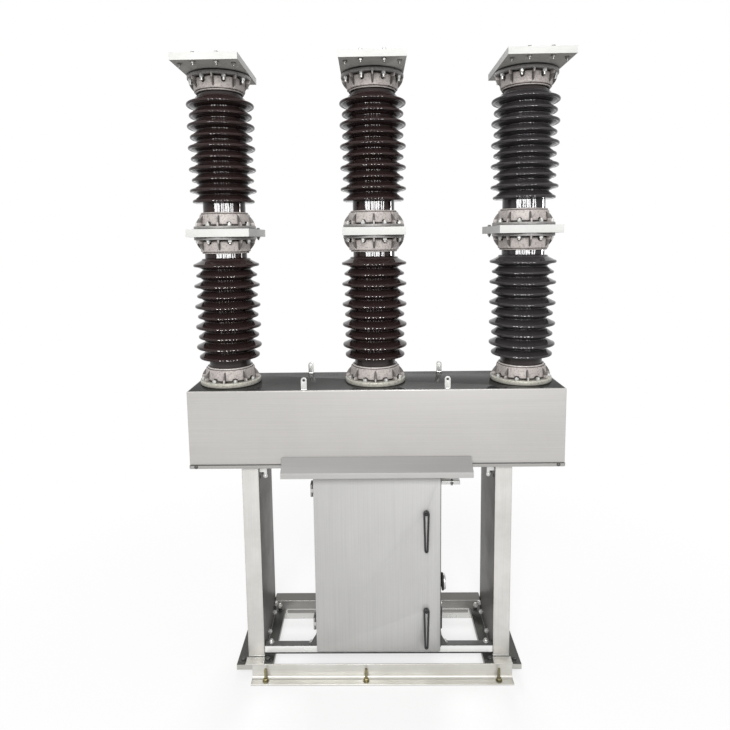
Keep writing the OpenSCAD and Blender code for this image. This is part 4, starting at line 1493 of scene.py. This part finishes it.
@dataclass
class Handle:
    """Moulded loop handle: a bar bent round a long drop, on a boss with a cap. Its node has its body's name."""

    body: Body
    head: float = 0.0145
    end: float = 0.0098
    bar: float = 0.0084
    depth: float = 0.0125
    inner_e: float = 0.0012
    outer_e: float = 0.0028

    def loop(self, reach: float) -> Skin:
        """Bar carried round the drop.

        The drop is a large and a small arc joined by their tangents. Each point of it is pushed
        along its outward normal by u, and out from the door by v, for (u, v) round a soft section.

        Args:
            reach: Distance from the pivot to the middle of the small arc.

        Returns:
            The loop, in the XY plane with its depth along Z.
        """
        lean = math.degrees(math.asin((self.head - self.end) / reach))
        upper, lower = arc((0, 0), 1, lean, 180 - lean, 25), arc((0, 0), 1, 180 - lean, 360 + lean, 17)
        head, end = upper * self.head, lower * self.end + (0, -reach)
        share = np.linspace(0, 1, 12)[1:-1, None]
        down, up = head[-1] + (end[0] - head[-1]) * share, end[-1] + (head[0] - end[-1]) * share
        path = np.concatenate([head, down, end, up])
        normal = np.concatenate([upper, np.repeat(upper[-1:], 10, 0), lower, np.repeat(lower[-1:], 10, 0)])
        w, d, e, f = self.bar, self.depth, self.outer_e, self.inner_e
        section = np.concatenate([arc((f - w, f), f, 180, 270, 3), arc((-f, f), f, 270, 360, 3),
                                  arc((-e, d - e), e, 0, 90, 5), arc((e - w, d - e), e, 90, 180, 5)])
        rows = np.stack([np.column_stack([path + normal * u, np.full(len(path), v)]) for u, v in section], 1)
        return Skin.loft(np.concatenate([rows, rows[:1]]), capped=False)

    def build(self) -> None:
        """Builds the loop with its cap, spindle and boss, and the screw."""
        node = self.body.value
        a, b = low(node), high(node)
        pivot_x, pivot_z = (a[0] + b[0]) / 2, b[2] - (b[0] - a[0]) / 2
        face = low("cabinet_door")[1] - a[1] - self.depth
        skin = self.loop(pivot_z - a[2] - self.end)
        skin.join(turned([(0.0072, 0.0), (0.0072, 0.0085), (0.0060, 0.0100), (0.0, 0.0104)], 32))
        skin.join(turned([(0.0065, a[1] - b[1] + self.depth + 0.0004), (0.0065, 0.001)], 32))
        skin.join(turned([(0.0130, -face + 0.0004), (0.0130, -0.0020), (0.0116, -0.0006), (0.0116, 0.001)], 40))
        Maker.skin(f"{node}_loop", skin.moved((pivot_x, a[1] + self.depth, pivot_z), Axis.FRONT), Finish.BLACK,
                   self.body, (node,), 40)
        screw = scatter(Screw(0.0042, 0.0016), [(pivot_x, a[1] + self.depth - 0.0110, pivot_z)], Axis.FRONT)
        Maker.skin(f"{node}_screw", screw, Finish.BLACK, self.body)


# ------------------------------------------------------------------ studio

@dataclass(frozen=True)
class Viewpoint:
    """Camera: place in metres, angles in degrees, lens in millimetres, and shift."""

    place: tuple[float, float, float] = (-0.019, -2.772, 2.099)
    tilt: float = 6.55
    pan: float = 0.75
    roll: float = 0.83
    lens: float = 28.435
    shift: Span = (0.0037, -0.0822)

    def build(self) -> None:
        """Builds the camera: its axes are the rows of pan, tilt and roll turned in that order."""
        rx, ry, rz = np.radians((self.tilt, self.pan, self.roll))
        c, s = math.cos, math.sin
        about_z = np.array([[c(rz), s(rz), 0], [-s(rz), c(rz), 0], [0, 0, 1]])
        about_x = np.array([[1, 0, 0], [0, c(rx), -s(rx)], [0, s(rx), c(rx)]])
        about_y = np.array([[c(ry), 0, -s(ry)], [0, 1, 0], [s(ry), 0, c(ry)]])
        rows = about_y @ about_x @ about_z
        lens = bpy.data.cameras.new("camera")
        lens.lens, lens.sensor_width, lens.sensor_fit = self.lens, 36.0, "HORIZONTAL"
        lens.shift_x, lens.shift_y = self.shift
        lens.clip_end = 100
        camera = bpy.data.objects.new("camera", lens)
        world = np.eye(4)
        world[:3] = np.column_stack([rows[0], rows[2], -rows[1], self.place])
        camera.matrix_world = Matrix(world.tolist())
        bpy.context.scene.collection.objects.link(camera)
        bpy.context.scene.camera = camera


@dataclass(frozen=True)
class Studio:
    """Plain pale floor, white surroundings and soft lamps."""

    sky: float = 0.375
    neck_pane: float = 60.0
    shed_pane: float = 85.0
    pane_away: float = 4.6
    floor_size: float = 60.0
    glow_from: Span = (0.5, 2.5)
    glow_share: Span = (0.66, 1.0)
    wide: ClassVar[tuple[Span, ...]] = (
        (-46, -33), (-31, -19), (-13, -4), (-1, 5), (9, 20), (22, 31), (40, 47), (52, 58), (103, 112))
    narrow: ClassVar[tuple[Span, ...]] = (
        (-36, -31), (-24, -20), (-8, -4), (5, 8), (17, 22), (31, 34))
    glazed: ClassVar[list[bpy.types.Object]] = []
    sheds: ClassVar[list[bpy.types.Object]] = []
    necks: ClassVar[list[bpy.types.Object]] = []

    def world(self) -> None:
        """White to the camera and to reflections, and a plain fill for everything else."""
        world = bpy.data.worlds.new("surroundings")
        bpy.context.scene.world = world
        world.use_nodes = True
        n = Nodes(world.node_tree)
        fill = n.add("Background", {"Color": WHITE, "Strength": self.sky})
        white = n.add("Background", {"Color": WHITE})
        mix = n.add("MixShader", {"Fac": n.rays("Camera", "Glossy", "Transmission"),
                                  1: fill.outputs[0], 2: white.outputs[0]})
        n.add("OutputWorld", {"Surface": mix.outputs[0]})

    def floor(self) -> None:
        """Large pale floor that keeps the object's shadow and grows white away from it."""
        half = self.floor_size / 2
        corners = np.array([(-half, -half, 0), (half, -half, 0), (half, half, 0), (-half, half, 0)])
        mesh = Skin().add(corners, [np.arange(4)[None]]).mesh("floor")
        floor = bpy.data.objects.new("floor", mesh)
        bpy.context.scene.collection.objects.link(floor)
        s = Shader("floor_white")
        seen = s.rays("Camera", "Glossy")
        away = s.add("VectorMath", {0: s.place}, operation="LENGTH").outputs["Value"]
        share = s.combined("MULTIPLY", seen, s.span(away, *self.glow_from, *self.glow_share))
        paint = s.add("BsdfDiffuse", {"Color": s.blend(seen, (0.60, 0.60, 0.60), (0.98, 0.98, 0.98))})
        glow = s.add("Emission", {"Color": WHITE})
        mix = s.add("MixShader", {"Fac": share, 1: paint.outputs[0], 2: glow.outputs[0]})
        s.feed(s.output, {"Surface": mix.outputs[0]})
        mesh.materials.append(s.material)

    def lamp(self, name: str, place: Place, target: Place, size: float, power: float,
             tall: float | None = None) -> bpy.types.Object:
        """Lamp that faces a target.

        Args:
            name: Name of the lamp.
            place: Where it stands.
            target: What it faces.
            size: Its width.
            power: Power in watts.
            tall: Its height, where it isn't square.

        Returns:
            The lamp.
        """
        light = bpy.data.lights.new(name, "AREA")
        light.shape, light.size, light.size_y, light.energy = "RECTANGLE", size, tall or size, power
        lamp = bpy.data.objects.new(name, light)
        lamp.location = place
        lamp.rotation_euler = (Vector(target) - Vector(place)).to_track_quat("-Z", "Y").to_euler()
        lamp.visible_camera = False
        bpy.context.scene.collection.objects.link(lamp)
        return lamp

    @staticmethod
    def group(name: str, objects: Iterable[bpy.types.Object], state: str = "INCLUDE") -> bpy.types.Collection:
        """Collection that a lamp reaches, or leaves out.

        Args:
            name: Name of the collection.
            objects: Its objects.
            state: INCLUDE for a lamp that reaches only these, and EXCLUDE for one that leaves them out.

        Returns:
            The collection.
        """
        group = bpy.data.collections.new(name)
        for item in objects:
            group.objects.link(item)
        for link in group.collection_objects:
            link.light_linking.link_state = state
        return group

    def keys(self) -> None:
        """Key lamp, given twice: with gloss for the metal, and without for the glaze."""
        setting = (-0.3, -5.6, 4.6), (0, 0, 1.5), 2.4, 330
        metal = self.lamp("key", *setting)
        metal.light_linking.receiver_collection = self.group("key_leaves_out", self.glazed, "EXCLUDE")
        glaze = self.lamp("key_glaze", *setting)
        glaze.visible_glossy = False
        glaze.light_linking.receiver_collection = self.group("key_glaze_reaches", self.glazed)

    def windows(self) -> None:
        """Bright panes that only the glaze sees: level ones for the necks, low ones for the sheds."""
        for name, posts, spans, height, tall, strength in (
                ("neck", self.necks, self.wide, 2.3, 2.0, self.neck_pane),
                ("shed", self.sheds, self.narrow, 0.95, 1.7, self.shed_pane)):
            group = self.group(f"{name}_posts", posts)
            for k, (start, end) in enumerate(spans):
                t = math.radians((start + end) / 2)
                width = 2 * self.pane_away * math.tan(math.radians(end - start) / 2)
                place = (self.pane_away * math.sin(t), -self.pane_away * math.cos(t), height)
                pane = self.lamp(f"{name}_pane_{k}", place, (0, 0, 2.3), width,
                                 width * tall * math.pi * strength, tall)
                pane.visible_diffuse = False
                pane.light_linking.receiver_collection = group

    def build(self) -> None:
        """Builds the surroundings, the floor and the lamp behind."""
        self.world()
        self.floor()
        back = self.lamp("back", (0.6, 5.4, 4.8), (0, 0, 1.4), 2.6, 190)
        back.visible_glossy = False
        bpy.context.scene.view_settings.view_transform = "Standard"


def main() -> None:
    """Builds the studio, every assembly of the breaker in order, then the lamps that pick pieces."""
    Viewpoint().build()
    studio = Studio()
    studio.build()
    for name in POLES:
        Pole(name, Finish.GLAZE_GREY if name == "right" else Finish.GLAZE).build()
    Beam().build()
    Leg("leg_left", -1.0).build()
    Leg("leg_right", 1.0).build()
    BaseFrame().build()
    Cabinet().build()
    Door().build()
    studio.keys()
    studio.windows()
    LOG.info("%d pieces, about %d triangles before their edges are softened", Maker.count, Maker.triangles)


if __name__ == "__main__":
    main()
